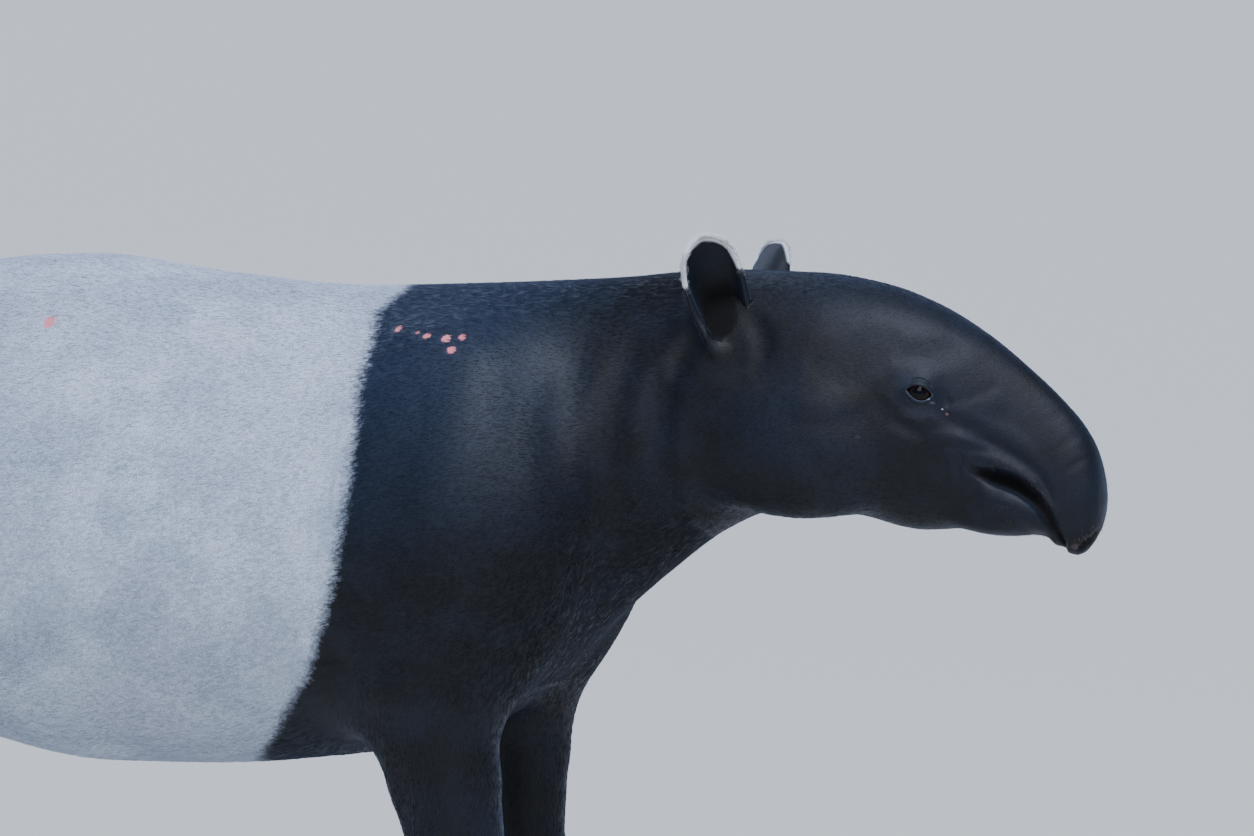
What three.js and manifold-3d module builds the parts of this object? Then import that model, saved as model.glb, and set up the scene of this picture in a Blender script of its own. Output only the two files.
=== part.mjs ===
// A life-size standing Malayan tapir, as a museum shows one: head level, mouth shut, four feet on the floor.
// Millimetres. +X is the way the animal faces, +Y is its left side, +Z is up, and the soles are at Z = 0.
// The whole hide is one smooth field, drawn as a mesh piece by piece and parted with thin plane cuts.

import * as THREE from 'three';
import { mergeVertices } from 'three/addons/utils/BufferGeometryUtils.js';
import Module from 'manifold-3d';

const wasm = await Module();
wasm.setup();

// Driving dimensions
const BODY_LENGTH = 1816; // front of the proboscis to the back of the rump
const EYE = { u: 196, y: 69, z: 860, radius: 16.5 };
const CUT = 0.4; // gap that a cut leaves between two pieces
const NOSE_X = BODY_LENGTH / 2;

// Sections across the body. u is the distance behind the front of the proboscis.
const TOP = [
  [0, 742], [4, 772], [12, 799], [28, 826], [52, 852], [83, 880], [142, 925], [204, 959], [266, 980],
  [340, 991], [450, 993], [578, 981], [754, 970], [920, 964], [1088, 975], [1250, 993], [1330, 990],
  [1430, 975], [1530, 945], [1620, 903], [1700, 848], [1755, 792], [1795, 726], [1812, 680], [1816, 660],
];
const BOTTOM = [
  [0, 734], [4, 710], [14, 688], [30, 673], [48, 677], [66, 692], [84, 698], [150, 700], [215, 696],
  [280, 709], [345, 721], [400, 711], [460, 684], [525, 636], [590, 580], [660, 512], [730, 455],
  [800, 425], [930, 403], [1080, 388], [1220, 385], [1340, 402], [1450, 450], [1560, 505], [1680, 548],
  [1760, 580], [1800, 612], [1816, 650],
];
const HALF_WIDTH = [
  [0, 8], [4, 22], [14, 32], [30, 37], [60, 42], [100, 50], [150, 65], [204, 81], [260, 96],
  [330, 108], [420, 112], [500, 119], [590, 146], [680, 186], [780, 220], [900, 244], [1050, 262],
  [1200, 268], [1330, 260], [1450, 242], [1570, 212], [1680, 168], [1755, 120], [1798, 70], [1812, 34],
  [1816, 10],
];
const WIDEST = [
  [0, 738], [60, 745], [120, 770], [204, 822], [300, 822], [420, 815], [520, 780], [640, 730],
  [780, 690], [1000, 650], [1250, 655], [1500, 700], [1680, 700], [1816, 655],
];
const UPPER_POWER = [
  [0, 2], [120, 2.15], [260, 2.2], [420, 2.1], [620, 1.75], [800, 1.75], [1000, 2], [1300, 2.1], [1816, 2],
];
const LOWER_POWER = [
  [0, 2], [120, 2.2], [300, 2.1], [450, 1.9], [700, 1.9], [1000, 2.1], [1300, 2.15], [1816, 2],
];

// Value of a station list at u, on a smooth curve that never overshoots its stations.
function along(list, u) {
  const last = list.length - 1;
  if (u <= list[0][0]) return list[0][1];
  if (u >= list[last][0]) return list[last][1];
  let i = 0;
  while (u > list[i + 1][0]) i++;
  const slope = (k) => (list[k + 1][1] - list[k][1]) / (list[k + 1][0] - list[k][0]);
  const tangent = (k) => {
    if (k === 0) return slope(0);
    if (k === last) return slope(last - 1);
    const a = slope(k - 1);
    const b = slope(k);
    return a * b <= 0 ? 0 : (2 * a * b) / (a + b);
  };
  const width = list[i + 1][0] - list[i][0];
  const t = (u - list[i][0]) / width;
  const a = tangent(i) * width;
  const b = tangent(i + 1) * width;
  const [p, q] = [list[i][1], list[i + 1][1]];
  return p + t * (a + t * (3 * (q - p) - 2 * a - b + t * (2 * (p - q) + a + b)));
}

// Stations are looked up often, so each list is sampled once to a millimetre.
const sampled = [TOP, BOTTOM, HALF_WIDTH, WIDEST, UPPER_POWER, LOWER_POWER].map((list) =>
  Float64Array.from({ length: BODY_LENGTH + 2 }, (_, u) => along(list, u))
);

function station(index, u) {
  const clamped = Math.min(Math.max(u, 0), BODY_LENGTH);
  const low = Math.floor(clamped);
  const values = sampled[index];
  return values[low] + (values[low + 1] - values[low]) * (clamped - low);
}

// Head, neck and trunk as one long tube of rounded sections
function torso(x, y, z) {
  const u = NOSE_X - x;
  const [top, bottom, width, widest, upper, lower] = [0, 1, 2, 3, 4, 5].map((k) => station(k, u));
  const above = z > widest;
  const height = Math.max(above ? top - widest : widest - bottom, 2);
  const power = above ? upper : lower;
  const reach = (Math.abs((z - widest) / height) ** power + Math.abs(y / width) ** power) ** (1 / power);
  const radius = Math.hypot(y, z - widest);
  const inSection = reach > 1e-6 ? radius * (1 - 1 / reach) : -Math.min(width, height);
  const beyond = Math.max(-u, u - BODY_LENGTH, 0);
  return beyond > 0 ? Math.hypot(Math.max(inSection, 0), beyond) : inSection;
}

// A limb bone with its flesh: a cone between two round ends, thinned sideways by a factor that changes along it
function limb(x, y, z, from, to) {
  const [px, py, pz] = [x - NOSE_X + from.u, y - from.y, z - from.z];
  const [dx, dy, dz] = [from.u - to.u, to.y - from.y, to.z - from.z];
  const t = Math.min(Math.max((px * dx + py * dy + pz * dz) / (dx * dx + dy * dy + dz * dz), 0), 1);
  const radius = from.r + (to.r - from.r) * t;
  const flat = (from.flat ?? 1) + ((to.flat ?? 1) - (from.flat ?? 1)) * t;
  return (Math.hypot(px - t * dx, (py - t * dy) / flat, pz - t * dz) - radius) * (0.4 + 0.6 * flat);
}

function ball(x, y, z, b) {
  const [px, py, pz] = [(x - NOSE_X + b.u) / b.ru, (y - b.y) / b.ry, (z - b.z) / b.rz];
  const reach = Math.hypot(px, py, pz);
  const radius = Math.hypot(x - NOSE_X + b.u, y - b.y, z - b.z);
  return reach > 1e-6 ? radius * (1 - 1 / reach) : -Math.min(b.ru, b.ry, b.rz);
}

function blend(a, b, k) {
  const h = Math.max(k - Math.abs(a - b), 0) / k;
  return Math.min(a, b) - (h * h * k) / 4;
}

// Legs. step moves a foot forward (+) or back (-) from a square stance.
const FORE = { step: { right: 34, left: -26 }, toes: 4 };
const HIND = { step: { right: -30, left: 30 }, toes: 3 };

function foreleg(side) {
  const s = FORE.step[side];
  return [
    { name: 'shoulder', u: 716, y: 146, z: 690, r: 110, flat: 0.62 },
    { name: 'elbow', u: 776, y: 150, z: 525, r: 92, flat: 0.7 },
    { name: 'forearm', u: 764 - s * 0.35, y: 143, z: 405, r: 69, flat: 0.8 },
    { name: 'knee', u: 748 - s * 0.6, y: 138, z: 272, r: 53, flat: 0.92 },
    { name: 'shank', u: 751 - s * 0.8, y: 136, z: 190, r: 46, flat: 0.95 },
    { name: 'fetlock', u: 748 - s, y: 136, z: 108, r: 49, flat: 1 },
    { name: 'foot', u: 734 - s, y: 136, z: 51, r: 54, flat: 1 },
  ];
}

function hindleg(side) {
  const s = HIND.step[side];
  return [
    { name: 'hip', u: 1588, y: 104, z: 700, r: 200, flat: 0.56 },
    { name: 'thigh', u: 1608, y: 128, z: 580, r: 176, flat: 0.56 },
    { name: 'stifle', u: 1612 - s * 0.2, y: 140, z: 475, r: 118, flat: 0.62 },
    { name: 'gaskin', u: 1652 - s * 0.6, y: 138, z: 385, r: 76, flat: 0.72 },
    { name: 'hock', u: 1690 - s * 0.8, y: 132, z: 300, r: 56, flat: 0.84 },
    { name: 'cannon', u: 1684 - s * 0.9, y: 131, z: 200, r: 46, flat: 0.95 },
    { name: 'fetlock', u: 1668 - s, y: 131, z: 110, r: 48, flat: 1 },
    { name: 'foot', u: 1650 - s, y: 131, z: 49, r: 52, flat: 1 },
  ];
}

const LEGS = {
  foreleg_right: foreleg('right'),
  foreleg_left: foreleg('left'),
  hindleg_right: hindleg('right'),
  hindleg_left: hindleg('left'),
};
for (const [name, joints] of Object.entries(LEGS)) {
  if (name.endsWith('right')) for (const joint of joints) joint.y *= -1;
}

// Toes fan out round the front of each foot. angle is from straight ahead, turning outwards.
const HOOF = { back: 4, front: 41, halfWidth: 20.5, height: 38 };
const FORE_TOES = [
  { name: 'inner', angle: -47, reach: 48, scale: 0.82 },
  { name: 'middle', angle: 1, reach: 51, scale: 1 },
  { name: 'outer', angle: 49, reach: 48, scale: 0.82 },
  { name: 'side', angle: 106, reach: 46, scale: 0.66 },
];
const HIND_TOES = [
  { name: 'inner', angle: -47, reach: 47, scale: 0.82 },
  { name: 'middle', angle: 1, reach: 51, scale: 1 },
  { name: 'outer', angle: 49, reach: 47, scale: 0.82 },
];

function toesOf(legName) {
  const foot = LEGS[legName][LEGS[legName].length - 1];
  const outward = Math.sign(foot.y);
  return (legName.startsWith('fore') ? FORE_TOES : HIND_TOES).map((toe) => {
    const turn = THREE.MathUtils.degToRad(toe.angle) * outward;
    return {
      ...toe,
      turn,
      foot,
      u: foot.u - Math.cos(turn) * toe.reach,
      y: foot.y + Math.sin(turn) * toe.reach,
    };
  });
}

const TOES = Object.fromEntries(Object.keys(LEGS).map((name) => [name, toesOf(name)]));

function toe(x, y, z, t) {
  const from = { u: t.foot.u, y: t.foot.y, z: 78, r: 32 };
  const to = { u: t.u, y: t.y, z: 8 + 15 * t.scale, r: 26 * t.scale };
  return limb(x, y, z, from, to);
}

// Masses that swell the sections: jaw muscle, lip corner and shoulder
const CHEEK = { u: 345, y: 70, z: 782, ru: 100, ry: 46, rz: 70 };
const LIP = { u: 112, y: 28, z: 722, ru: 58, ry: 26, rz: 24 };
const SHOULDER = { u: 752, y: 112, z: 690, ru: 140, ry: 98, rz: 220 };
const CHAIN_BLEND = 8;

function mirrored(x, y, z, shape) {
  return ball(x, Math.abs(y), z, shape);
}

// The whole hide, without ears and tail
function hide(x, y, z) {
  let f = torso(x, y, z);
  const u = NOSE_X - x;
  if (u < 480) {
    f = blend(f, mirrored(x, y, z, CHEEK), 46);
    f = blend(f, mirrored(x, y, z, LIP), 26);
  }
  if (u > 480 && u < 1020) f = blend(f, mirrored(x, y, z, SHOULDER), 80);
  for (const [name, joints] of Object.entries(LEGS)) {
    const near = name.startsWith('fore') ? [520, 980] : [1220, 1880];
    if (u < near[0] || u > near[1]) continue;
    let leg = Infinity;
    for (let i = 0; i < joints.length - 1; i++) {
      leg = blend(leg, limb(x, y, z, joints[i], joints[i + 1]), CHAIN_BLEND);
    }
    if (z < 150) for (const t of TOES[name]) leg = blend(leg, toe(x, y, z, t), 12);
    f = blend(f, leg, 60);
  }
  return f;
}

// Surface nets: one vertex in each cell that the surface crosses, moved onto the surface by its slope
function meshOf(field, low, high, pitch, level = 0) {
  const steps = Array.isArray(pitch) ? pitch : [pitch, pitch, pitch];
  const step = Math.min(...steps);
  const count = low.map((l, k) => Math.ceil((high[k] - l) / steps[k]) + 1);
  const [nx, ny, nz] = count;
  const at = (i, j, k) => (i * ny + j) * nz + k;
  const value = new Float64Array(nx * ny * nz);
  const place = (i, j, k) => [low[0] + i * steps[0], low[1] + j * steps[1], low[2] + k * steps[2]];
  const f = (p) => field(p[0], p[1], p[2]) - level;
  for (let i = 0; i < nx; i++)
    for (let j = 0; j < ny; j++)
      for (let k = 0; k < nz; k++) {
        const edge = i === 0 || j === 0 || k === 0 || i === nx - 1 || j === ny - 1 || k === nz - 1;
        value[at(i, j, k)] = edge ? step : f(place(i, j, k));
      }
  const crossing = (p, q, a, b) => {
    let [lo, hi] = a < 0 ? [p, q] : [q, p];
    for (let n = 0; n < 7; n++) {
      const mid = lo.map((v, c) => (v + hi[c]) / 2);
      if (f(mid) < 0) lo = mid;
      else hi = mid;
    }
    return lo.map((v, c) => (v + hi[c]) / 2);
  };
  const vertexOf = new Int32Array(nx * ny * nz).fill(-1);
  const positions = [];
  for (let i = 0; i < nx - 1; i++)
    for (let j = 0; j < ny - 1; j++)
      for (let k = 0; k < nz - 1; k++) {
        const sum = [0, 0, 0];
        let crossings = 0;
        for (let c = 0; c < 8; c++)
          for (const bit of [1, 2, 4]) {
            if (c & bit) continue;
            const d = c | bit;
            const [p, q] = [c, d].map((n) => [i + (n & 1), j + ((n >> 1) & 1), k + ((n >> 2) & 1)]);
            const [a, b] = [value[at(...p)], value[at(...q)]];
            if (a < 0 === b < 0) continue;
            crossing(place(...p), place(...q), a, b).forEach((v, n) => (sum[n] += v));
            crossings++;
          }
        if (!crossings) continue;
        vertexOf[at(i, j, k)] = positions.length / 3;
        positions.push(...sum.map((v) => v / crossings));
      }
  for (let v = 0; v < positions.length; v += 3) {
    const p = positions.slice(v, v + 3);
    const start = [...p];
    for (let n = 0; n < 3; n++) {
      const here = f(p);
      const slope = [0, 1, 2].map((c) => {
        const q = [...p];
        q[c] += 0.5;
        return (f(q) - here) / 0.5;
      });
      const steep = slope.reduce((s, g) => s + g * g, 0);
      if (steep < 1e-4) break;
      for (let c = 0; c < 3; c++) p[c] -= (here * slope[c]) / steep;
    }
    const moved = Math.hypot(...p.map((w, c) => w - start[c]));
    if (moved < step * 0.45) p.forEach((w, c) => (positions[v + c] = w));
  }
  const index = [];
  const quad = (a, b, c, d, flip) => {
    const corner = (n) => new THREE.Vector3(...positions.slice(n * 3, n * 3 + 3));
    const shortFirst = corner(a).distanceTo(corner(c)) < corner(b).distanceTo(corner(d));
    const faces = shortFirst ? [[a, b, c], [a, c, d]] : [[a, b, d], [b, c, d]];
    for (const [p, q, r] of faces) index.push(...(flip ? [p, r, q] : [p, q, r]));
  };
  const v = (i, j, k) => vertexOf[at(i, j, k)];
  for (let i = 0; i < nx - 1; i++)
    for (let j = 0; j < ny - 1; j++)
      for (let k = 0; k < nz - 1; k++) {
        const here = value[at(i, j, k)] < 0;
        const changes = (a, b, c) => here !== value[at(a, b, c)] < 0;
        if (j && k && changes(i + 1, j, k)) {
          quad(v(i, j - 1, k - 1), v(i, j, k - 1), v(i, j, k), v(i, j - 1, k), !here);
        }
        if (i && k && changes(i, j + 1, k)) {
          quad(v(i - 1, j, k - 1), v(i - 1, j, k), v(i, j, k), v(i, j, k - 1), !here);
        }
        if (i && j && changes(i, j, k + 1)) {
          quad(v(i - 1, j - 1, k), v(i, j - 1, k), v(i, j, k), v(i - 1, j, k), !here);
        }
      }
  const geometry = new THREE.BufferGeometry();
  geometry.setAttribute('position', new THREE.Float32BufferAttribute(positions, 3));
  geometry.setIndex(index);
  return geometry;
}

// Passing between three.js geometry and solids
function solidOf(geometry) {
  const bare = geometry.clone();
  bare.deleteAttribute('normal');
  bare.deleteAttribute('uv');
  const merged = mergeVertices(bare, 1e-3);
  return new wasm.Manifold(
    new wasm.Mesh({
      numProp: 3,
      vertProperties: merged.attributes.position.array,
      triVerts: new Uint32Array(merged.index.array),
    })
  );
}

function geometryOf(solid) {
  const mesh = solid.getMesh();
  const positions = new Float32Array(mesh.numVert * 3);
  for (let i = 0; i < mesh.numVert; i++) {
    positions.set(mesh.vertProperties.subarray(i * mesh.numProp, i * mesh.numProp + 3), i * 3);
  }
  const geometry = new THREE.BufferGeometry();
  geometry.setAttribute('position', new THREE.BufferAttribute(positions, 3));
  geometry.setIndex(new THREE.BufferAttribute(mesh.triVerts, 1));
  geometry.computeVertexNormals();
  return geometry;
}

// A big block to cut away what lies beyond a point, on the side that toward points to, from a gap short of it
const FAR = 2600;
function blockBeyond(point, toward, gap = CUT / 2) {
  const direction = new THREE.Vector3(...toward).normalize();
  const geometry = new THREE.BoxGeometry(FAR, FAR, FAR);
  geometry.applyQuaternion(new THREE.Quaternion().setFromUnitVectors(new THREE.Vector3(0, 0, 1), direction));
  const centre = new THREE.Vector3(...point).addScaledVector(direction, FAR / 2 - gap);
  geometry.translate(centre.x, centre.y, centre.z);
  return solidOf(geometry);
}

// A closed skin over rings of points, with a fan on each end
function loft(rings, firstTip, lastTip) {
  const around = rings[0].length;
  const positions = rings.flat().flatMap((p) => [p.x, p.y, p.z]);
  positions.push(firstTip.x, firstTip.y, firstTip.z, lastTip.x, lastTip.y, lastTip.z);
  const [first, last] = [rings.length * around, rings.length * around + 1];
  const index = [];
  for (let j = 0; j < around; j++) {
    const next = (j + 1) % around;
    index.push(first, next, j);
    for (let i = 0; i < rings.length - 1; i++) {
      const [a, b, c, d] = [i * around + j, i * around + next, (i + 1) * around + next, (i + 1) * around + j];
      index.push(a, b, c, a, c, d);
    }
    const end = (rings.length - 1) * around;
    index.push(last, end + j, end + next);
  }
  const geometry = new THREE.BufferGeometry();
  geometry.setAttribute('position', new THREE.Float32BufferAttribute(positions, 3));
  geometry.setIndex(index);
  return geometry;
}

// A solid is turned right side out if its winding came out reversed
function outward(geometry) {
  const solid = solidOf(geometry);
  if (solid.volume() > 0) return solid;
  const index = geometry.index.array;
  const turned = [];
  for (let i = 0; i < index.length; i += 3) turned.push(index[i], index[i + 2], index[i + 1]);
  geometry.setIndex(turned);
  return solidOf(geometry);
}

// Cutting places, each a point and the way it faces
const at = (u, z) => [NOSE_X - u, 0, z];
const BEHIND_HEAD = { point: at(468, 850), toward: [-290, 0, -75] };
const BEFORE_TRUNK = { point: at(640, 770), toward: [-420, 0, -160] };
const BEFORE_BARREL = { point: at(925, 700), toward: [-1, 0, 0] };
const BEFORE_RUMP = { point: at(1400, 700), toward: [-1, 0, 0] };
const BEFORE_MOUTH = { point: at(112, 820), toward: [1, 0, 0.12] };
const LEG_TOP = {
  fore: { y: 150, z: 455, slope: 0.5 },
  hind: { y: 140, z: 478, slope: 0.6 },
};
// Where the flesh of a leg ends along the body: behind the elbow and before the stifle
const LEG_END = {
  fore: { point: at(882, 440), toward: [1, 0, 0] },
  hind: { point: at(1468, 440), toward: [-1, 0, 0] },
};
const ANKLE = 118;

const after = (cut, gap) => blockBeyond(cut.point, cut.toward, gap);
const before = (cut, gap) => blockBeyond(cut.point, cut.toward.map((v) => -v), gap);

function legTop(kind, side) {
  const { y, z, slope } = LEG_TOP[kind];
  return { point: [0, y * side, z], toward: [0, slope * side, -1] };
}

// All that lies below a leg's top and on the leg's side of its end
const legZone = (kind, side) => after(legTop(kind, side)).intersect(after(LEG_END[kind]));

// The mouth line, from the front of the lips to the corner of the mouth and on under the cheek to the throat
const MOUTH = [
  [30, 640], [42, 680], [46, 704], [50, 722], [62, 746], [78, 760], [98, 769], [122, 771], [146, 764],
  [200, 752], [260, 742], [315, 724], [352, 700], [372, 660],
];

function jawBlock(shift) {
  const shape = new THREE.Shape();
  const edge = MOUTH.map(([u, z]) => [NOSE_X - u + shift, z + shift]);
  edge.forEach(([x, z], i) => (i ? shape.lineTo(x, z) : shape.moveTo(x, z)));
  shape.closePath();
  const geometry = new THREE.ExtrudeGeometry(shape, { depth: 400, bevelEnabled: false });
  geometry.rotateX(Math.PI / 2);
  geometry.translate(0, 200, 0);
  return outward(geometry);
}

// Ears: an upright cup, rolled nearly shut at the root and open above, its hollow turned out and forward
const EAR = {
  root: { u: 426, y: 66, z: 905 },
  up: { right: [-0.12, 0.3, 0.94], left: [-0.12, 0.62, 0.77] },
  facing: { right: [0.5, 0.86, 0.12], left: [0.5, 0.8, -0.1] },
  length: 141,
  rows: 7,
  columns: 6,
  width: [[0, 25], [0.2, 28], [0.45, 33], [0.65, 34], [0.82, 30], [0.94, 19], [1, 8]],
  depth: [[0, 38], [0.25, 37], [0.5, 29], [0.72, 18], [0.9, 8], [1, 4]],
  thickness: [[0, 12], [0.3, 9], [0.6, 6.5], [1, 4.5]],
};

function ear(sign, grow) {
  const side = sign > 0 ? 'left' : 'right';
  const up = new THREE.Vector3(...EAR.up[side]).normalize();
  const facing = new THREE.Vector3(...EAR.facing[side]);
  facing.addScaledVector(up, -facing.dot(up)).normalize();
  const across = new THREE.Vector3().crossVectors(up, facing);
  const root = new THREE.Vector3(NOSE_X - EAR.root.u, EAR.root.y, EAR.root.z);
  const around = EAR.columns;
  const rings = [];
  for (let i = 0; i <= EAR.rows; i++) {
    const t = i / EAR.rows;
    const [w, d, thick] = [along(EAR.width, t), along(EAR.depth, t), along(EAR.thickness, t)];
    const beyond = i === 0 ? -grow : i === EAR.rows ? grow : 0;
    const height = t * EAR.length + beyond;
    const point = (s, back) => {
      const bend = s * Math.PI * 0.5;
      const reach = w + back * 0.9;
      return root.clone()
        .addScaledVector(up, height)
        .addScaledVector(across, Math.sin(bend) * reach)
        .addScaledVector(facing, 6 - Math.cos(bend) * (d + back));
    };
    const ring = [];
    for (let j = 0; j <= around; j++) ring.push(point(-1 + (2 * j) / around, thick / 2 + grow));
    for (let j = around; j >= 0; j--) ring.push(point(-1 + (2 * j) / around, -thick / 2 - grow));
    const lip = ring.length;
    ring[0].addScaledVector(facing, grow);
    ring[around].addScaledVector(facing, grow);
    ring[around + 1].addScaledVector(facing, grow);
    ring[lip - 1].addScaledVector(facing, grow);
    for (const p of ring) p.y *= sign;
    rings.push(ring);
  }
  const middle = (ring) => ring[3].clone().add(ring[10]).multiplyScalar(0.5);
  return outward(loft(rings, middle(rings[0]), middle(rings[EAR.rows])));
}

function eye(side, grow) {
  const geometry = new THREE.SphereGeometry(EYE.radius + grow, 10, 7);
  geometry.rotateX(Math.PI / 2);
  geometry.translate(NOSE_X - EYE.u, EYE.y * side, EYE.z);
  return outward(geometry);
}

// Tail: a short thick stub that hangs over the cleft of the rump
const TAIL = [
  { u: 1712, z: 812, r: 34 },
  { u: 1762, z: 792, r: 31 },
  { u: 1804, z: 758, r: 25 },
  { u: 1826, z: 718, r: 18 },
  { u: 1834, z: 690, r: 10 },
];

function tail(grow) {
  const rings = TAIL.map((part, i) => {
    const [a, b] = [TAIL[Math.max(i - 1, 0)], TAIL[Math.min(i + 1, TAIL.length - 1)]];
    const run = new THREE.Vector3(a.u - b.u, 0, b.z - a.z).normalize();
    const rise = new THREE.Vector3(-run.z, 0, run.x);
    const centre = new THREE.Vector3(NOSE_X - part.u, 0, part.z);
    if (i === 0) centre.addScaledVector(run, -grow);
    return Array.from({ length: 10 }, (_, j) => {
      const turn = (j / 10) * Math.PI * 2;
      const reach = part.r + grow;
      return centre.clone()
        .addScaledVector(rise, Math.cos(turn) * reach)
        .add(new THREE.Vector3(0, Math.sin(turn) * reach, 0));
    });
  });
  const first = new THREE.Vector3(NOSE_X - TAIL[0].u + grow, 0, TAIL[0].z);
  const last = new THREE.Vector3(NOSE_X - 1837, 0, 683 - grow);
  return outward(loft(rings, first, last));
}

// Hoof: a blunt half oval on its flat sole, sloping back to the top
function hoof(t, grow) {
  const size = t.scale;
  const levels = [
    { z: grow ? -4 : 0, back: HOOF.back, front: HOOF.front - 1, width: HOOF.halfWidth - 1 },
    { z: 6 * size, back: HOOF.back, front: HOOF.front, width: HOOF.halfWidth },
    { z: HOOF.height * size + grow, back: HOOF.back - 2, front: HOOF.front - 15, width: HOOF.halfWidth - 5 },
  ];
  const rings = levels.map((level) => {
    const [half, middle] = [(level.back + level.front) / 2, (level.front - level.back) / 2];
    return Array.from({ length: 8 }, (_, j) => {
      const turn = (j / 8) * Math.PI * 2;
      const [c, s] = [Math.cos(turn), Math.sin(turn)];
      const square = (v) => Math.sign(v) * Math.abs(v) ** 0.86;
      const forward = middle * size + square(c) * (half * size + grow);
      const sideways = square(s) * (level.width * size + grow);
      const [cos, sin] = [Math.cos(t.turn), Math.sin(t.turn)];
      return new THREE.Vector3(
        NOSE_X - t.u + forward * cos - sideways * sin,
        t.y + forward * sin + sideways * cos,
        level.z
      );
    });
  });
  const centre = (ring) => ring.reduce((sum, p) => sum.add(p), new THREE.Vector3()).divideScalar(ring.length);
  return outward(loft(rings, centre(rings[0]), centre(rings[2])));
}

// A piece of the hide: its own grid, then its cuts
function piece(low, high, pitch, cuts, level = 0) {
  const solid = solidOf(meshOf(hide, low, high, pitch, level));

  return cuts.reduce((left, cut) => left.subtract(cut), solid);
}

const box = (u0, u1, y0, y1, z0, z1) => [
  [NOSE_X - u1, y0, z0],
  [NOSE_X - u0, y1, z1],
];

const SIDES = { right: -1, left: 1 };
const solids = {};

solids.head = piece(...box(40, 560, -156, 156, 632, 1030), [33, 28, 28], [
  after(BEHIND_HEAD),
  after(BEFORE_MOUTH),
  jawBlock(0.4),
  ear(1, 0.4),
  ear(-1, 0.4),
  eye(1, 0.4),
  eye(-1, 0.4),
]);
solids.proboscis = piece(...box(-26, 170, -78, 78, 640, 940), [20, 18, 19], [
  before(BEFORE_MOUTH),
  jawBlock(0.4),
]);
solids.lower_jaw = piece(...box(24, 420, -120, 120, 650, 800), [28, 22, 22], []).intersect(jawBlock(0));
solids.neck = piece(...box(380, 800, -260, 260, 470, 1040), [44, 40, 42], [
  before(BEHIND_HEAD),
  after(BEFORE_TRUNK),
]);
solids.forequarters = piece(...box(500, 1010, -320, 320, 340, 1040), [66, 60, 58], [
  before(BEFORE_TRUNK),
  after(BEFORE_BARREL),
  legZone('fore', 1),
  legZone('fore', -1),
]);
solids.barrel = piece(...box(840, 1480, -320, 320, 330, 1050), [96, 62, 62], [
  before(BEFORE_BARREL),
  after(BEFORE_RUMP),
]);
solids.hindquarters = piece(...box(1320, 1870, -320, 320, 326, 1050), [64, 60, 58], [
  before(BEFORE_RUMP),
  legZone('hind', 1),
  legZone('hind', -1),
  tail(0.4),
]);
solids.tail = tail(0);

for (const [side, sign] of Object.entries(SIDES)) {
  solids[`ear_${side}`] = ear(sign, 0);
  solids[`eye_${side}`] = eye(sign, 0);
  for (const kind of ['fore', 'hind']) {
    const leg = `${kind}leg_${side}`;
    const joints = LEGS[leg];
    const [u, y] = [joints[joints.length - 2].u, joints[joints.length - 2].y];
    const span = kind === 'fore' ? [u - 190, u + 200] : [u - 330, u + 200];
    const wide = sign > 0 ? [12, 290] : [-290, -12];
    solids[leg] = piece(...box(...span, ...wide, 70, 640), [38, 36, 52], [
      before(legTop(kind, sign)),
      before(LEG_END[kind]),
      blockBeyond([0, 0, ANKLE], [0, 0, -1]),
    ], 1.5);
    const foot = joints[joints.length - 1];
    solids[`foot_${kind}_${side}`] = piece(
      ...box(foot.u - 122, foot.u + 90, foot.y - 98, foot.y + 98, -24, 172),
      [29, 28, 28],
      [
        blockBeyond([0, 0, ANKLE], [0, 0, 1]),
        blockBeyond([0, 0, 0], [0, 0, -1], 0),
        ...TOES[leg].map((t) => hoof(t, 0.4)),
      ],
      1
    );
    for (const t of TOES[leg]) solids[`hoof_${kind}_${side}_${t.name}`] = hoof(t, 0);
  }
}

// Finishes
const finish = (color, roughness) => new THREE.MeshStandardMaterial({ color, roughness, metalness: 0 });
const BLACK_COAT = finish('#16171b', 0.6);
const GREY_COAT = finish('#9a9ba3', 0.62);
const HORN = finish('#3a3631', 0.45);
const EYEBALL = finish('#1b120d', 0.06);
const GREY_PIECES = ['barrel', 'hindquarters'];

function materialOf(name) {
  if (name.startsWith('eye_')) return EYEBALL;
  if (name.startsWith('hoof_')) return HORN;
  return GREY_PIECES.includes(name) ? GREY_COAT : BLACK_COAT;
}

// The middle of the footprint goes to the origin
const group = new THREE.Group();
group.name = 'malayan_tapir';
for (const [name, solid] of Object.entries(solids)) {
  const mesh = new THREE.Mesh(geometryOf(solid), materialOf(name));
  mesh.name = name;
  group.add(mesh);
}
const bounds = new THREE.Box3().setFromObject(group);
const middle = bounds.getCenter(new THREE.Vector3());
for (const mesh of group.children) mesh.geometry.translate(-middle.x, -middle.y, -bounds.min.z);

export default group;
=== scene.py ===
"""Life-size still model of a standing Malayan tapir: skin, coat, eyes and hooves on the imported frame.

Body places are written as (u, y, z) in millimetres: u runs back from the tip of the trunk, y to the animal's
left and z up from the floor. Meshes are in metres in the row frame.
"""

import logging
import math
from collections.abc import Callable, Iterator, Sequence
from contextlib import contextmanager
from dataclasses import dataclass, field
from enum import Enum

import bpy
import numpy as np
from mathutils import Matrix, Vector


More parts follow.
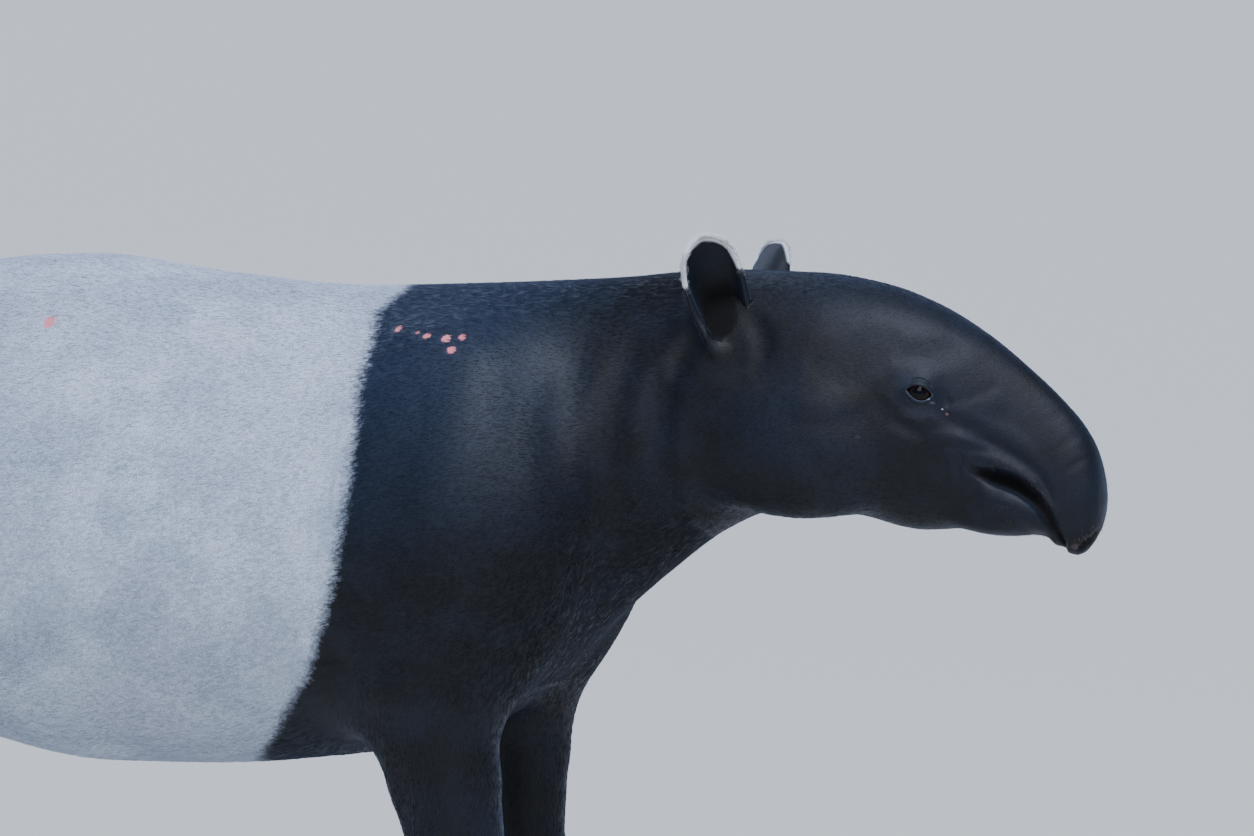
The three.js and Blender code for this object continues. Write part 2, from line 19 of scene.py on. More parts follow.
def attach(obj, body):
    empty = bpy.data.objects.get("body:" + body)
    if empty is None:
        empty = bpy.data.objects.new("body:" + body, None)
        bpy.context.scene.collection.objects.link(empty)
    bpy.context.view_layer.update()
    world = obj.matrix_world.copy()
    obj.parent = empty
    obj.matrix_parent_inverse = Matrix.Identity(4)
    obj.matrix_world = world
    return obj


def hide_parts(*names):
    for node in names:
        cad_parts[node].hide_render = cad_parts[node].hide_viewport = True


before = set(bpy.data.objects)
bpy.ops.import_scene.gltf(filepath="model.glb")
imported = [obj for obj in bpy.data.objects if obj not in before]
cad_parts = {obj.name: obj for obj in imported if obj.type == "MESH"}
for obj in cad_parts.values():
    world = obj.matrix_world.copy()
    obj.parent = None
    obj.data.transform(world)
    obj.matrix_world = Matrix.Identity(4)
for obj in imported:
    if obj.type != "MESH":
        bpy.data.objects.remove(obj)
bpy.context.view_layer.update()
LOG = logging.getLogger("tapir")

MM = 1000.0  # millimetres in a metre
NOSE = 922.0  # millimetres from the middle of the frame's box to the front of the trunk
LENGTH = 1816  # millimetres from the front of the trunk to the rump
ALONG = np.arange(LENGTH + 1.0)
SIDES = {"right": -1.0, "left": 1.0}
Array = np.ndarray
Socket = bpy.types.NodeSocket

def to_frame(places: Array) -> Array:
    """Turns body places in millimetres into frame points in metres.

    Args:
        places: Rows of (u, y, z).

    Returns:
        Rows of (x, y, z).
    """
    points = np.array(places, dtype=float)
    points[:, 0] = NOSE - points[:, 0]
    return points / MM


def to_body(points: Array) -> Array:
    """Turns frame points in metres into body places in millimetres.

    Args:
        points: Rows of (x, y, z).

    Returns:
        Rows of (u, y, z).
    """
    places = np.array(points, dtype=float) * MM
    places[:, 0] = NOSE - places[:, 0]
    return places


def turned(vectors: Array, side: float = 1.0) -> Array:
    """Directions in body places as directions in the frame or back again, mirrored too for a side of -1."""
    return vectors * np.array([-1.0, side, 1.0])

def unit(vectors: Array) -> Array:
    """Each row at length one."""
    return vectors / np.maximum(np.linalg.norm(vectors, axis=-1, keepdims=True), 1e-9)


def smooth(low: float, high: float, value: Array) -> Array:
    """Smooth step from 0 at low to 1 at high."""
    t = np.clip((value - low) / (high - low), 0.0, 1.0)
    return t * t * (3.0 - 2.0 * t)


def linear(colour: str) -> tuple[float, float, float, float]:
    """sRGB hex as linear RGBA.

    Args:
        colour: Six hex digits.

    Returns:
        The colour that the shaders take.
    """
    parts = [int(colour[i : i + 2], 16) / 255.0 for i in (0, 2, 4)]
    return tuple(c / 12.92 if c <= 0.04045 else ((c + 0.055) / 1.055) ** 2.4 for c in parts) + (1.0,)


def alone(piece: bpy.types.Object | None = None) -> None:
    """Deselects everything, and then selects one piece and makes it active.

    Args:
        piece: The piece to work on, if any.
    """
    if bpy.context.object and bpy.context.object.mode != "OBJECT":
        bpy.ops.object.mode_set(mode="OBJECT")
    bpy.ops.object.select_all(action="DESELECT")
    if piece is not None:
        piece.select_set(True)
        bpy.context.view_layer.objects.active = piece


@contextmanager
def editing(select: str | None = "SELECT") -> Iterator[None]:
    """Edit mode on the active piece, and object mode again after it.

    Args:
        select: SELECT or DESELECT for all of the mesh, or None to leave the choice as it is.
    """
    bpy.ops.object.mode_set(mode="EDIT")
    if select:
        bpy.ops.mesh.select_all(action=select)
    yield
    bpy.ops.object.mode_set(mode="OBJECT")


def shape_by(piece: bpy.types.Object, kind: str, **settings: object) -> None:
    """Adds one modifier to a piece and applies it.

    Args:
        piece: The piece.
        kind: The modifier's type.
        settings: The modifier's settings.
    """
    alone(piece)
    modifier = piece.modifiers.new(kind.lower(), kind)
    for name, value in settings.items():
        setattr(modifier, name, value)
    bpy.ops.object.modifier_apply(modifier=modifier.name)


def placed(name: str, data: bpy.types.ID) -> bpy.types.Object:
    """Puts a new object into the scene.

    Args:
        name: Its name.
        data: The mesh, light or camera that it holds.

    Returns:
        The object.
    """
    made = bpy.data.objects.new(name, data)
    bpy.context.collection.objects.link(made)
    return made


def points_of(piece: bpy.types.Object, what: str = "co") -> Array:
    """Reads a piece's vertices.

    Args:
        piece: The piece.
        what: co for their places in metres, normal for their normals.

    Returns:
        One row for each vertex.
    """
    rows = np.empty(len(piece.data.vertices) * 3)
    piece.data.vertices.foreach_get(what, rows)
    return rows.reshape(-1, 3)


def set_points(piece: bpy.types.Object, points: Array) -> None:
    """Moves a piece's vertices to new places in metres."""
    piece.data.vertices.foreach_set("co", points.ravel())
    piece.data.update()


def write_number(piece: bpy.types.Object, name: str, values: Array) -> None:
    """Stores one number for each vertex, which a material reads by name."""
    made = piece.data.attributes.new(name, "FLOAT", "POINT")
    made.data.foreach_set("value", np.ascontiguousarray(values, dtype=np.float32))


def smooth_min(a: Array, b: Array, reach: float) -> Array:
    """The smaller of two distances, rounded where they meet within reach."""
    h = np.maximum(reach - np.abs(a - b), 0.0) / reach
    return np.minimum(a, b) - h * h * reach / 4.0


@dataclass(frozen=True)
class Joint:
    """One joint of a leg or of the tail: its place, half thickness, and how flat the flesh round it is."""

    u: float
    y: float
    z: float
    radius: float
    flat: float = 1.0

    def place(self) -> Array:
        """The joint's place as a row."""
        return np.array([self.u, self.y, self.z])


@dataclass(frozen=True)
class Toe:
    """One toe: how far it turns out from straight ahead, how far it reaches, and its size."""

    name: str
    angle: float
    reach: float
    size: float


@dataclass(frozen=True)
class Mound:
    """An egg-shaped swelling on both sides of the body."""

    u: float
    y: float
    z: float
    ru: float
    ry: float
    rz: float

    def distance(self, p: Array) -> Array:
        """Distance of each place from the swelling, on either side.

        Args:
            p: Rows of (u, y, z).

        Returns:
            One distance for each row, below zero inside.
        """
        q = np.stack([p[:, 0] - self.u, np.abs(p[:, 1]) - self.y, p[:, 2] - self.z], axis=1)
        reach = np.linalg.norm(q / np.array([self.ru, self.ry, self.rz]), axis=1)
        far = np.linalg.norm(q, axis=1)
        return np.where(reach > 1e-6, far * (1.0 - 1.0 / np.maximum(reach, 1e-6)), -self.ry)


def sampled(stations: Sequence[tuple[float, float]]) -> Array:
    """Values of a station list at every millimetre of length, on a curve that never overshoots.

    Args:
        stations: Pairs of u and value.

    Returns:
        One value for each whole u.
    """
    u, v = np.array(stations, dtype=float).T
    slope = np.diff(v) / np.diff(u)
    lean = np.empty_like(v)
    lean[0], lean[-1] = slope[0], slope[-1]
    a, b = slope[:-1], slope[1:]
    lean[1:-1] = np.where(a * b <= 0, 0.0, 2 * a * b / np.where(a + b == 0, 1.0, a + b))
    i = np.clip(np.searchsorted(u, ALONG, side="left") - 1, 0, len(u) - 2)
    wide = u[i + 1] - u[i]
    t = (ALONG - u[i]) / wide
    m, n, p, q = lean[i] * wide, lean[i + 1] * wide, v[i], v[i + 1]
    return p + t * (m + t * (3 * (q - p) - 2 * m - n + t * (2 * (p - q) + m + n)))


@dataclass
class Hide:
    """The smooth form that the whole skin follows, out to the tips of the coat.

    The outline, the half width, the height of the widest line and the squareness of the cross-section above and
    below that line are pairs of u and value along the body.
    """

    top: tuple = (
        (0, 742), (4, 772), (12, 799), (28, 826), (52, 852), (83, 880), (142, 925), (204, 959), (266, 980),
        (340, 991), (450, 993), (578, 981), (754, 970), (920, 964), (1088, 975), (1250, 993), (1330, 990),
        (1430, 975), (1530, 945), (1620, 903), (1700, 848), (1755, 792), (1795, 726), (1812, 680), (1816, 660),
    )
    bottom: tuple = (
        (0, 734), (4, 710), (14, 688), (30, 673), (48, 677), (66, 692), (84, 698), (150, 700), (215, 696),
        (280, 709), (345, 721), (400, 711), (460, 684), (525, 636), (590, 580), (660, 512), (730, 455),
        (800, 425), (930, 403), (1080, 388), (1220, 385), (1340, 402), (1450, 450), (1560, 505), (1680, 548),
        (1760, 580), (1800, 612), (1816, 650),
    )
    half_width: tuple = (
        (0, 8), (4, 22), (14, 32), (30, 37), (60, 42), (100, 50), (150, 65), (204, 81), (260, 96), (330, 108),
        (420, 112), (500, 119), (590, 146), (680, 186), (780, 220), (900, 244), (1050, 262), (1200, 268),
        (1330, 260), (1450, 242), (1570, 212), (1680, 168), (1755, 120), (1798, 70), (1812, 34), (1816, 10),
    )
    widest: tuple = (
        (0, 738), (60, 745), (120, 770), (204, 822), (300, 822), (420, 815), (520, 780), (640, 730), (780, 690),
        (1000, 650), (1250, 655), (1500, 700), (1680, 700), (1816, 655),
    )
    upper_power: tuple = (
        (0, 2), (120, 2.15), (260, 2.2), (420, 2.1), (620, 1.75), (800, 1.75), (1000, 2), (1300, 2.1), (1816, 2),
    )
    lower_power: tuple = (
        (0, 2), (120, 2.2), (300, 2.1), (450, 1.9), (700, 1.9), (1000, 2.1), (1300, 2.15), (1816, 2),
    )
    cheek: Mound = Mound(345, 70, 782, 100, 46, 70)
    lip: Mound = Mound(112, 28, 722, 58, 26, 24)
    shoulder: Mound = Mound(752, 112, 690, 140, 98, 220)
    tail: tuple[Joint, ...] = (
        Joint(1700, 0, 812, 30),
        Joint(1762, 0, 792, 31),
        Joint(1804, 0, 758, 25),
        Joint(1826, 0, 718, 18),
        Joint(1835, 0, 694, 9),
    )
    steps: dict = field(default_factory=lambda: {"fore": (34.0, -26.0), "hind": (-30.0, 30.0)})
    toes: dict = field(
        default_factory=lambda: {
            "fore": (
                Toe("inner", -47, 48, 0.82),
                Toe("middle", 1, 51, 1.0),
                Toe("outer", 49, 48, 0.82),
                Toe("side", 106, 46, 0.66),
            ),
            "hind": (Toe("inner", -47, 47, 0.82), Toe("middle", 1, 51, 1.0), Toe("outer", 49, 47, 0.82)),
        }
    )
    toe_radius: float = 24.0
    coat: float = 2.6

    def __post_init__(self) -> None:
        """Samples the stations once, and lays out the legs."""
        lists = (self.top, self.bottom, self.half_width, self.widest, self.upper_power, self.lower_power)
        self.stations = [sampled(rows) for rows in lists]
        self.middle = self.stations[3]
        self.legs = {
            (kind, side): self.leg(kind, side) for kind in ("fore", "hind") for side in ("right", "left")
        }

    def leg(self, kind: str, side: str) -> tuple[Joint, ...]:
        """The joints of one leg, from the top down to the foot.

        Args:
            kind: fore or hind.
            side: right or left.

        Returns:
            The joints.
        """
        s = self.steps[kind][0 if side == "right" else 1]
        w = SIDES[side]
        rows = {
            "fore": (
                (716, 146, 690, 110, 0.62),
                (776, 150, 525, 92, 0.7),
                (764 - 0.35 * s, 143, 405, 69, 0.8),
                (748 - 0.6 * s, 138, 272, 53, 0.92),
                (751 - 0.8 * s, 136, 190, 46, 0.95),
                (748 - s, 136, 108, 49, 1.0),
                (734 - s, 136, 51, 54, 1.0),
            ),
            "hind": (
                (1588, 104, 700, 200, 0.56),
                (1608, 128, 580, 176, 0.56),
                (1612 - 0.2 * s, 140, 475, 118, 0.62),
                (1652 - 0.6 * s, 138, 385, 76, 0.72),
                (1690 - 0.8 * s, 132, 300, 56, 0.84),
                (1684 - 0.9 * s, 131, 200, 46, 0.95),
                (1668 - s, 131, 110, 48, 1.0),
                (1650 - s, 131, 49, 52, 1.0),
            ),
        }
        return tuple(Joint(u, y * w, z, r, flat) for u, y, z, r, flat in rows[kind])

    def toe_spots(self, kind: str, side: str) -> list[tuple[Toe, float, float, float]]:
        """Where the toes of one foot stand.

        Args:
            kind: fore or hind.
            side: right or left.

        Returns:
            Each toe with its u, its y and the way it points.
        """
        foot = self.legs[(kind, side)][-1]
        spots = []
        for toe in self.toes[kind]:
            turn = math.radians(toe.angle) * SIDES[side]
            spots.append((toe, foot.u - math.cos(turn) * toe.reach, foot.y + math.sin(turn) * toe.reach, turn))
        return spots

    def torso(self, p: Array) -> Array:
        """Distance from head, neck and trunk.

        Args:
            p: Rows of (u, y, z).

        Returns:
            One distance for each row, below zero inside.
        """
        top, low, wide, mid, up_power, down_power = [np.interp(p[:, 0], ALONG, s) for s in self.stations]
        y, z = p[:, 1], p[:, 2]
        above = z > mid
        tall = np.maximum(np.where(above, top - mid, mid - low), 2.0)
        power = np.where(above, up_power, down_power)
        reach = (np.abs((z - mid) / tall) ** power + np.abs(y / wide) ** power) ** (1.0 / power)
        far = np.hypot(y, z - mid)
        inside = np.where(reach > 1e-6, far * (1 - 1 / np.maximum(reach, 1e-6)), -np.minimum(wide, tall))
        beyond = np.maximum(np.maximum(-p[:, 0], p[:, 0] - LENGTH), 0.0)
        return np.where(beyond > 0, np.hypot(np.maximum(inside, 0.0), beyond), inside)

    def limb(self, p: Array, joints: Sequence[Joint], reach: float = 0.0) -> Array:
        """Distance from the flesh along a row of joints.

        Args:
            p: Rows of (u, y, z).
            joints: Two joints or more.
            reach: How widely the flesh of one stretch runs into the next.

        Returns:
            One distance for each row, below zero inside.
        """
        whole = None
        for a, b in zip(joints, joints[1:]):
            d = b.place() - a.place()
            q = p - a.place()
            t = np.clip(q @ d / (d @ d), 0.0, 1.0)
            radius = a.radius + t * (b.radius - a.radius)
            flat = a.flat + t * (b.flat - a.flat)
            r = q - t[:, None] * d
            far = np.sqrt(r[:, 0] ** 2 + (r[:, 1] / flat) ** 2 + r[:, 2] ** 2)
            stretch = (far - radius) * (0.4 + 0.6 * flat)
            whole = stretch if whole is None else smooth_min(whole, stretch, reach)
        return whole

    def leg_distance(self, p: Array, kind: str, side: str) -> Array:
        """Distance from one leg with its foot.

        Args:
            p: Rows of (u, y, z).
            kind: fore or hind.
            side: right or left.

        Returns:
            One distance for each row, below zero inside.
        """
        joints = self.legs[(kind, side)]
        d = self.limb(p, joints, 8.0)
        foot = joints[-1]
        low = p[:, 2] < 150
        if low.any():
            sole = d[low]
            for toe, u, y, turn in self.toe_spots(kind, side):
                ahead = 5.0 * toe.size
                turn_u, turn_y = u - math.cos(turn) * ahead, y + math.sin(turn) * ahead
                tip = Joint(turn_u, turn_y, 14 + 14 * toe.size, self.toe_radius * toe.size)
                sole = smooth_min(sole, self.limb(p[low], (Joint(foot.u, foot.y, 78, 34), tip)), 9.0)
            d[low] = sole
        return d

    def distance(self, p: Array) -> Array:
        """Distance from the whole hide.

        Args:
            p: Rows of (u, y, z).

        Returns:
            One distance for each row, below zero inside.
        """
        d = self.torso(p)
        u = p[:, 0]
        zones = (
            (u < 480, ((self.cheek, 46.0), (self.lip, 26.0))),
            ((u > 480) & (u < 1020), ((self.shoulder, 80.0),)),
        )
        for zone, mounds in zones:
            for mound, reach in mounds:
                d[zone] = smooth_min(d[zone], mound.distance(p[zone]), reach)
        for kind, side in self.legs:
            low, high = (520, 980) if kind == "fore" else (1220, 1880)
            zone = (u > low) & (u < high) & (p[:, 1] * SIDES[side] > -90)
            d[zone] = smooth_min(d[zone], self.leg_distance(p[zone], kind, side), 60.0)
        zone = u > 1640
        if zone.any():
            d[zone] = smooth_min(d[zone], self.limb(p[zone], self.tail, 6.0), 16.0)
        return d

    def slope(self, p: Array, here: Array | None = None) -> Array:
        """How the distance changes round each place.

        Args:
            p: Rows of (u, y, z).
            here: The distance at each row, if it is known.

        Returns:
            Rows that point out of the hide.
        """
        here = self.distance(p) if here is None else here
        step = 0.5
        return np.stack([(self.distance(p + np.eye(3)[i] * step) - here) / step for i in range(3)], axis=1)

    def depth(self, p: Array) -> Array:
        """How deep the skin lies under the tips of the coat: least on the face and the feet.

        Args:
            p: Rows of (u, y, z).

        Returns:
            One depth in millimetres for each row.
        """
        face = smooth(420.0, 160.0, p[:, 0])
        feet = smooth(260.0, 60.0, p[:, 2])
        return self.coat * (1.0 - 0.5 * np.maximum(face, feet))

    def settle(self, p: Array, rounds: int = 2) -> Array:
        """Moves places onto the skin.

        Args:
            p: Rows of (u, y, z).
            rounds: How often each is moved.

        Returns:
            The moved rows.
        """
        for _ in range(rounds):
            here = self.distance(p)
            out = self.slope(p, here)
            size = np.maximum((out * out).sum(axis=1), 0.2)
            p = p - np.clip((here + self.depth(p)) / size, -8.0, 8.0)[:, None] * out
        p[:, 2] = np.maximum(p[:, 2], 1.5)
        return p


HIDE = Hide()


@dataclass(frozen=True)
class Fold:
    """A fold, dip or swelling along a line on both sides: a height below zero sinks it."""

    line: tuple[tuple[float, float, float], ...]
    width: float
    height: float
    sizes: tuple[float, ...] = ()
    flat: float = 0.0

    def rise(self, p: Array) -> Array:
        """How far each place is raised.

        Args:
            p: Rows of (u, y, z).

        Returns:
            One height in millimetres for each row.
        """
        line = np.array(self.line, dtype=float)
        q = np.stack([p[:, 0], np.abs(p[:, 1]), p[:, 2]], axis=1)
        best = np.full(len(p), 1e9)
        along = np.zeros(len(p))
        for i in range(len(line) - 1):
            d = line[i + 1] - line[i]
            t = np.clip((q - line[i]) @ d / (d @ d), 0.0, 1.0)
            far = np.linalg.norm(q - line[i] - t[:, None] * d, axis=1)
            near = far < best
            best = np.where(near, far, best)
            along = np.where(near, i + t, along)
        if self.sizes:
            size = np.interp(along, np.arange(len(line)), self.sizes)
        else:
            size = np.sin(np.pi * np.clip(along / (len(line) - 1), 0.0, 1.0)) ** 0.7
        wide = self.width * (0.5 + 0.5 * size)
        t = np.clip((best / wide - self.flat) / (1.0 - self.flat), 0.0, 1.0)
        return self.height * size * (1.0 - t * t) ** 2


MOUTH = Fold(
    (
        (144, 63, 775), (131, 59, 769), (116, 55, 765), (101, 51, 761), (86, 48, 754), (72, 45, 743),
        (60, 43, 728), (53, 39, 713), (49, 33, 699), (47, 20, 688), (46, 0, 684),
    ),
    13.0, -16.0, (0.1, 0.45, 0.9, 1.0, 0.9, 0.75, 0.6, 0.5, 0.5, 0.6, 0.6), 0.1,
)
NOSTRIL = Fold(((8, 11, 698), (14, 15, 690), (22, 18, 683)), 8.0, -9.0, (0.5, 1.0, 0.7), 0.25)

FACE_FOLDS = (
    MOUTH,
    NOSTRIL,
    # rolled edge of the upper lip, and the long folds over it
    Fold(
        ((150, 66, 788), (134, 62, 790), (118, 57, 785), (102, 53, 778), (88, 50, 769), (74, 46, 757),
         (62, 44, 742), (54, 42, 724)),
        11.0, 3.4, (0.0, 0.5, 0.9, 1.0, 1.0, 0.9, 0.7, 0.2),
    ),
    Fold(
        ((148, 64, 812), (130, 58, 807), (112, 53, 800), (95, 49, 790), (80, 47, 780), (67, 45, 768),
         (58, 43, 752), (51, 42, 732)),
        11.0, -3.6, (0.1, 0.6, 0.9, 1.0, 1.0, 0.9, 0.7, 0.1),
    ),
    Fold(
        ((146, 62, 832), (120, 54, 824), (98, 49, 812), (80, 46, 798), (66, 44, 780)),
        16.0, 2.2,
    ),
    # lower lip, full and soft
    Fold(
        ((140, 60, 748), (122, 56, 742), (104, 53, 739), (88, 49, 734), (72, 45, 724), (60, 39, 709)),
        21.0, 5.4, (0.2, 0.8, 1.0, 1.0, 0.9, 0.6),
    ),
    Fold(((160, 65, 752), (150, 62, 734), (134, 57, 719), (112, 49, 707)), 13.0, -2.8),
    # corner of the mouth and the folds of the cheek behind it
    Fold(((152, 65, 792), (157, 66, 776), (155, 65, 758)), 11.0, -3.2),
    Fold(((188, 79, 842), (170, 73, 834), (151, 67, 823), (132, 60, 813), (110, 54, 802)), 13.0, -2.8),
    Fold(((196, 81, 808), (176, 76, 811), (156, 69, 810), (138, 62, 806), (122, 58, 800)), 13.0, 3.2),
    Fold(((196, 80, 796), (180, 74, 780), (166, 70, 762)), 19.0, -2.4),
    Fold(((216, 86, 784), (200, 81, 764), (188, 76, 742)), 24.0, 2.6),
    # hollows over and in front of the eye, and the bag under it
    Fold(((230, 78, 900), (206, 68, 901), (182, 58, 905), (152, 40, 914)), 30.0, -2.8),
    Fold(((236, 82, 882), (214, 77, 887), (196, 71, 887), (172, 63, 880)), 19.0, 1.5),
    Fold(
        ((242, 88, 858), (236, 87, 844), (226, 86, 831), (212, 83, 821), (196, 80, 814), (178, 75, 815)),
        14.0, -3.2, (0.0, 0.6, 1.0, 1.0, 0.8, 0.1),
    ),
    Fold(((226, 85, 848), (212, 83, 837), (196, 80, 832), (178, 75, 836)), 10.0, 1.8),
    Fold(((184, 75, 866), (174, 70, 856), (164, 67, 842)), 12.0, -3.0),
    Fold(((172, 67, 847), (146, 57, 853), (128, 48, 861), (110, 35, 874)), 8.0, -0.8),
    Fold(((166, 64, 836), (134, 54, 842), (104, 41, 854)), 24.0, 1.3),
    # temple, cheek muscle and jaw line
    Fold(((330, 96, 890), (290, 92, 895), (252, 82, 912), (224, 68, 930)), 40.0, -3.6),
    Fold(((250, 92, 858), (280, 99, 850), (316, 107, 846), (350, 111, 850)), 28.0, 3.2),
    Fold(((330, 108, 744), (290, 100, 742), (250, 90, 745), (210, 80, 744), (168, 66, 740)), 22.0, -3.0),
    Fold(((352, 112, 800), (336, 113, 768), (320, 108, 738), (300, 98, 722)), 34.0, 3.4),
    Fold(((284, 102, 818), (270, 98, 811), (256, 94, 806)), 9.0, -1.2),
    # faint wrinkles across the trunk
    Fold(((10, -1, 790), (22, 28, 784), (38, 40, 772), (54, 42, 758)), 8.0, -0.7),
    Fold(((22, -1, 816), (34, 30, 808), (52, 43, 796), (68, 45, 780)), 9.0, -0.7),
    Fold(((40, -1, 842), (54, 32, 834), (74, 46, 820), (92, 49, 806)), 10.0, -0.6),
    # rim of the nostril, and the groove between the two
    Fold(((2, 12, 708), (12, 24, 697), (26, 28, 685)), 7.0, 2.2),
    Fold(((3, 0, 712), (12, 0, 690), (26, 0, 677)), 7.5, -2.8, (0.2, 1.0, 1.0)),
    # lip that closes the ear's opening below, and the folds round the root of the ear
    Fold(
        ((400, 88, 957), (403, 96, 941), (413, 101, 925), (428, 104, 913), (443, 106, 909)),
        10.0, 3.6, (1.0, 1.0, 0.9, 0.8, 0.5),
    ),
    Fold(((408, 80, 948), (392, 84, 936), (380, 88, 918), (378, 97, 898), (388, 104, 878)), 20.0, -2.6),
    Fold(((440, 92, 940), (462, 94, 918), (476, 99, 892), (480, 104, 866)), 24.0, -2.8),
    Fold(((372, 100, 866), (406, 108, 860), (436, 110, 862), (464, 110, 868)), 30.0, 2.4),
)

BODY_FOLDS = (
    # folds of the neck and throat
    Fold(((462, 92, 930), (492, 112, 860), (500, 118, 790), (484, 104, 716)), 30.0, -4.4),
    Fold(((530, 92, 930), (548, 120, 860), (560, 134, 780), (552, 126, 690), (546, 96, 640)), 34.0, -3.8),
    Fold(((590, 100, 920), (606, 136, 840), (618, 156, 740), (612, 150, 640)), 34.0, -3.2),
    Fold(((430, 80, 716), (480, 84, 690), (520, 80, 660), (576, 70, 606)), 30.0, 4.4),
    # shoulder blade, its hind edge and the upper arm
    Fold(((690, 140, 920), (706, 176, 830), (728, 206, 720), (750, 224, 610), (764, 226, 540)), 70.0, 7.0),
    Fold(((820, 170, 900), (850, 220, 790), (866, 238, 680), (860, 238, 570), (850, 222, 480)), 50.0, -8.0),
    Fold(((652, 146, 800), (664, 168, 700), (670, 176, 610), (690, 186, 530)), 40.0, -6.0),
    Fold(((700, 190, 560), (744, 216, 520), (800, 218, 508), (830, 210, 520)), 40.0, 5.0),
    Fold(((826, 216, 550), (840, 208, 490), (830, 196, 430), (812, 190, 400)), 34.0, -5.0),
    # forearm and knee of the forelegs
    Fold(((744, 206, 460), (730, 196, 390), (722, 186, 320)), 30.0, 4.6),
    Fold(((796, 200, 440), (790, 190, 370), (778, 184, 300)), 22.0, -4.0),
    Fold(((722, 182, 300), (704, 152, 280), (716, 112, 292)), 22.0, 4.0),
    Fold(((720, 184, 250), (704, 146, 238), (716, 108, 250)), 15.0, -3.4),
    Fold(((790, 170, 200), (792, 150, 150), (790, 140, 120)), 16.0, 3.0),
    # flank, ribs and the fold before the thigh
    Fold(((1060, 258, 740), (1110, 266, 620), (1150, 258, 500)), 110.0, 5.0),
    Fold(((1316, 232, 860), (1352, 252, 760), (1366, 252, 660), (1378, 236, 570), (1380, 210, 510)), 64.0, -10.0),
    Fold(((1410, 236, 590), (1396, 208, 520), (1370, 160, 450), (1350, 120, 410)), 34.0, 7.0),
    Fold(((1290, 206, 886), (1350, 220, 872), (1420, 214, 856)), 50.0, -5.0),
    # haunch and thigh
    Fold(((1450, 226, 800), (1486, 238, 700), (1510, 240, 600), (1530, 232, 520)), 80.0, 6.0),
    Fold(((1600, 190, 800), (1630, 204, 680), (1642, 194, 560), (1650, 180, 460)), 50.0, -7.0),
    Fold(((1540, 220, 500), (1574, 210, 440), (1620, 196, 396)), 36.0, 5.0),
    Fold(((1680, 180, 420), (1714, 168, 356), (1732, 148, 312)), 24.0, 6.0, (0.1, 0.8, 1.0)),
    Fold(((1672, 182, 404), (1696, 178, 344), (1700, 174, 270)), 19.0, -5.5),
    Fold(((1640, 178, 304), (1646, 150, 286), (1648, 110, 300)), 20.0, -3.6),
    Fold(((1642, 180, 250), (1640, 176, 190), (1640, 174, 140)), 16.0, 2.6),
    # root of the tail
    Fold(((1706, 40, 836), (1740, 38, 806), (1762, 36, 774)), 20.0, -2.6),
    Fold(((1752, 0, 826), (1700, 0, 858)), 30.0, 1.8, (1.0, 0.2)),
)


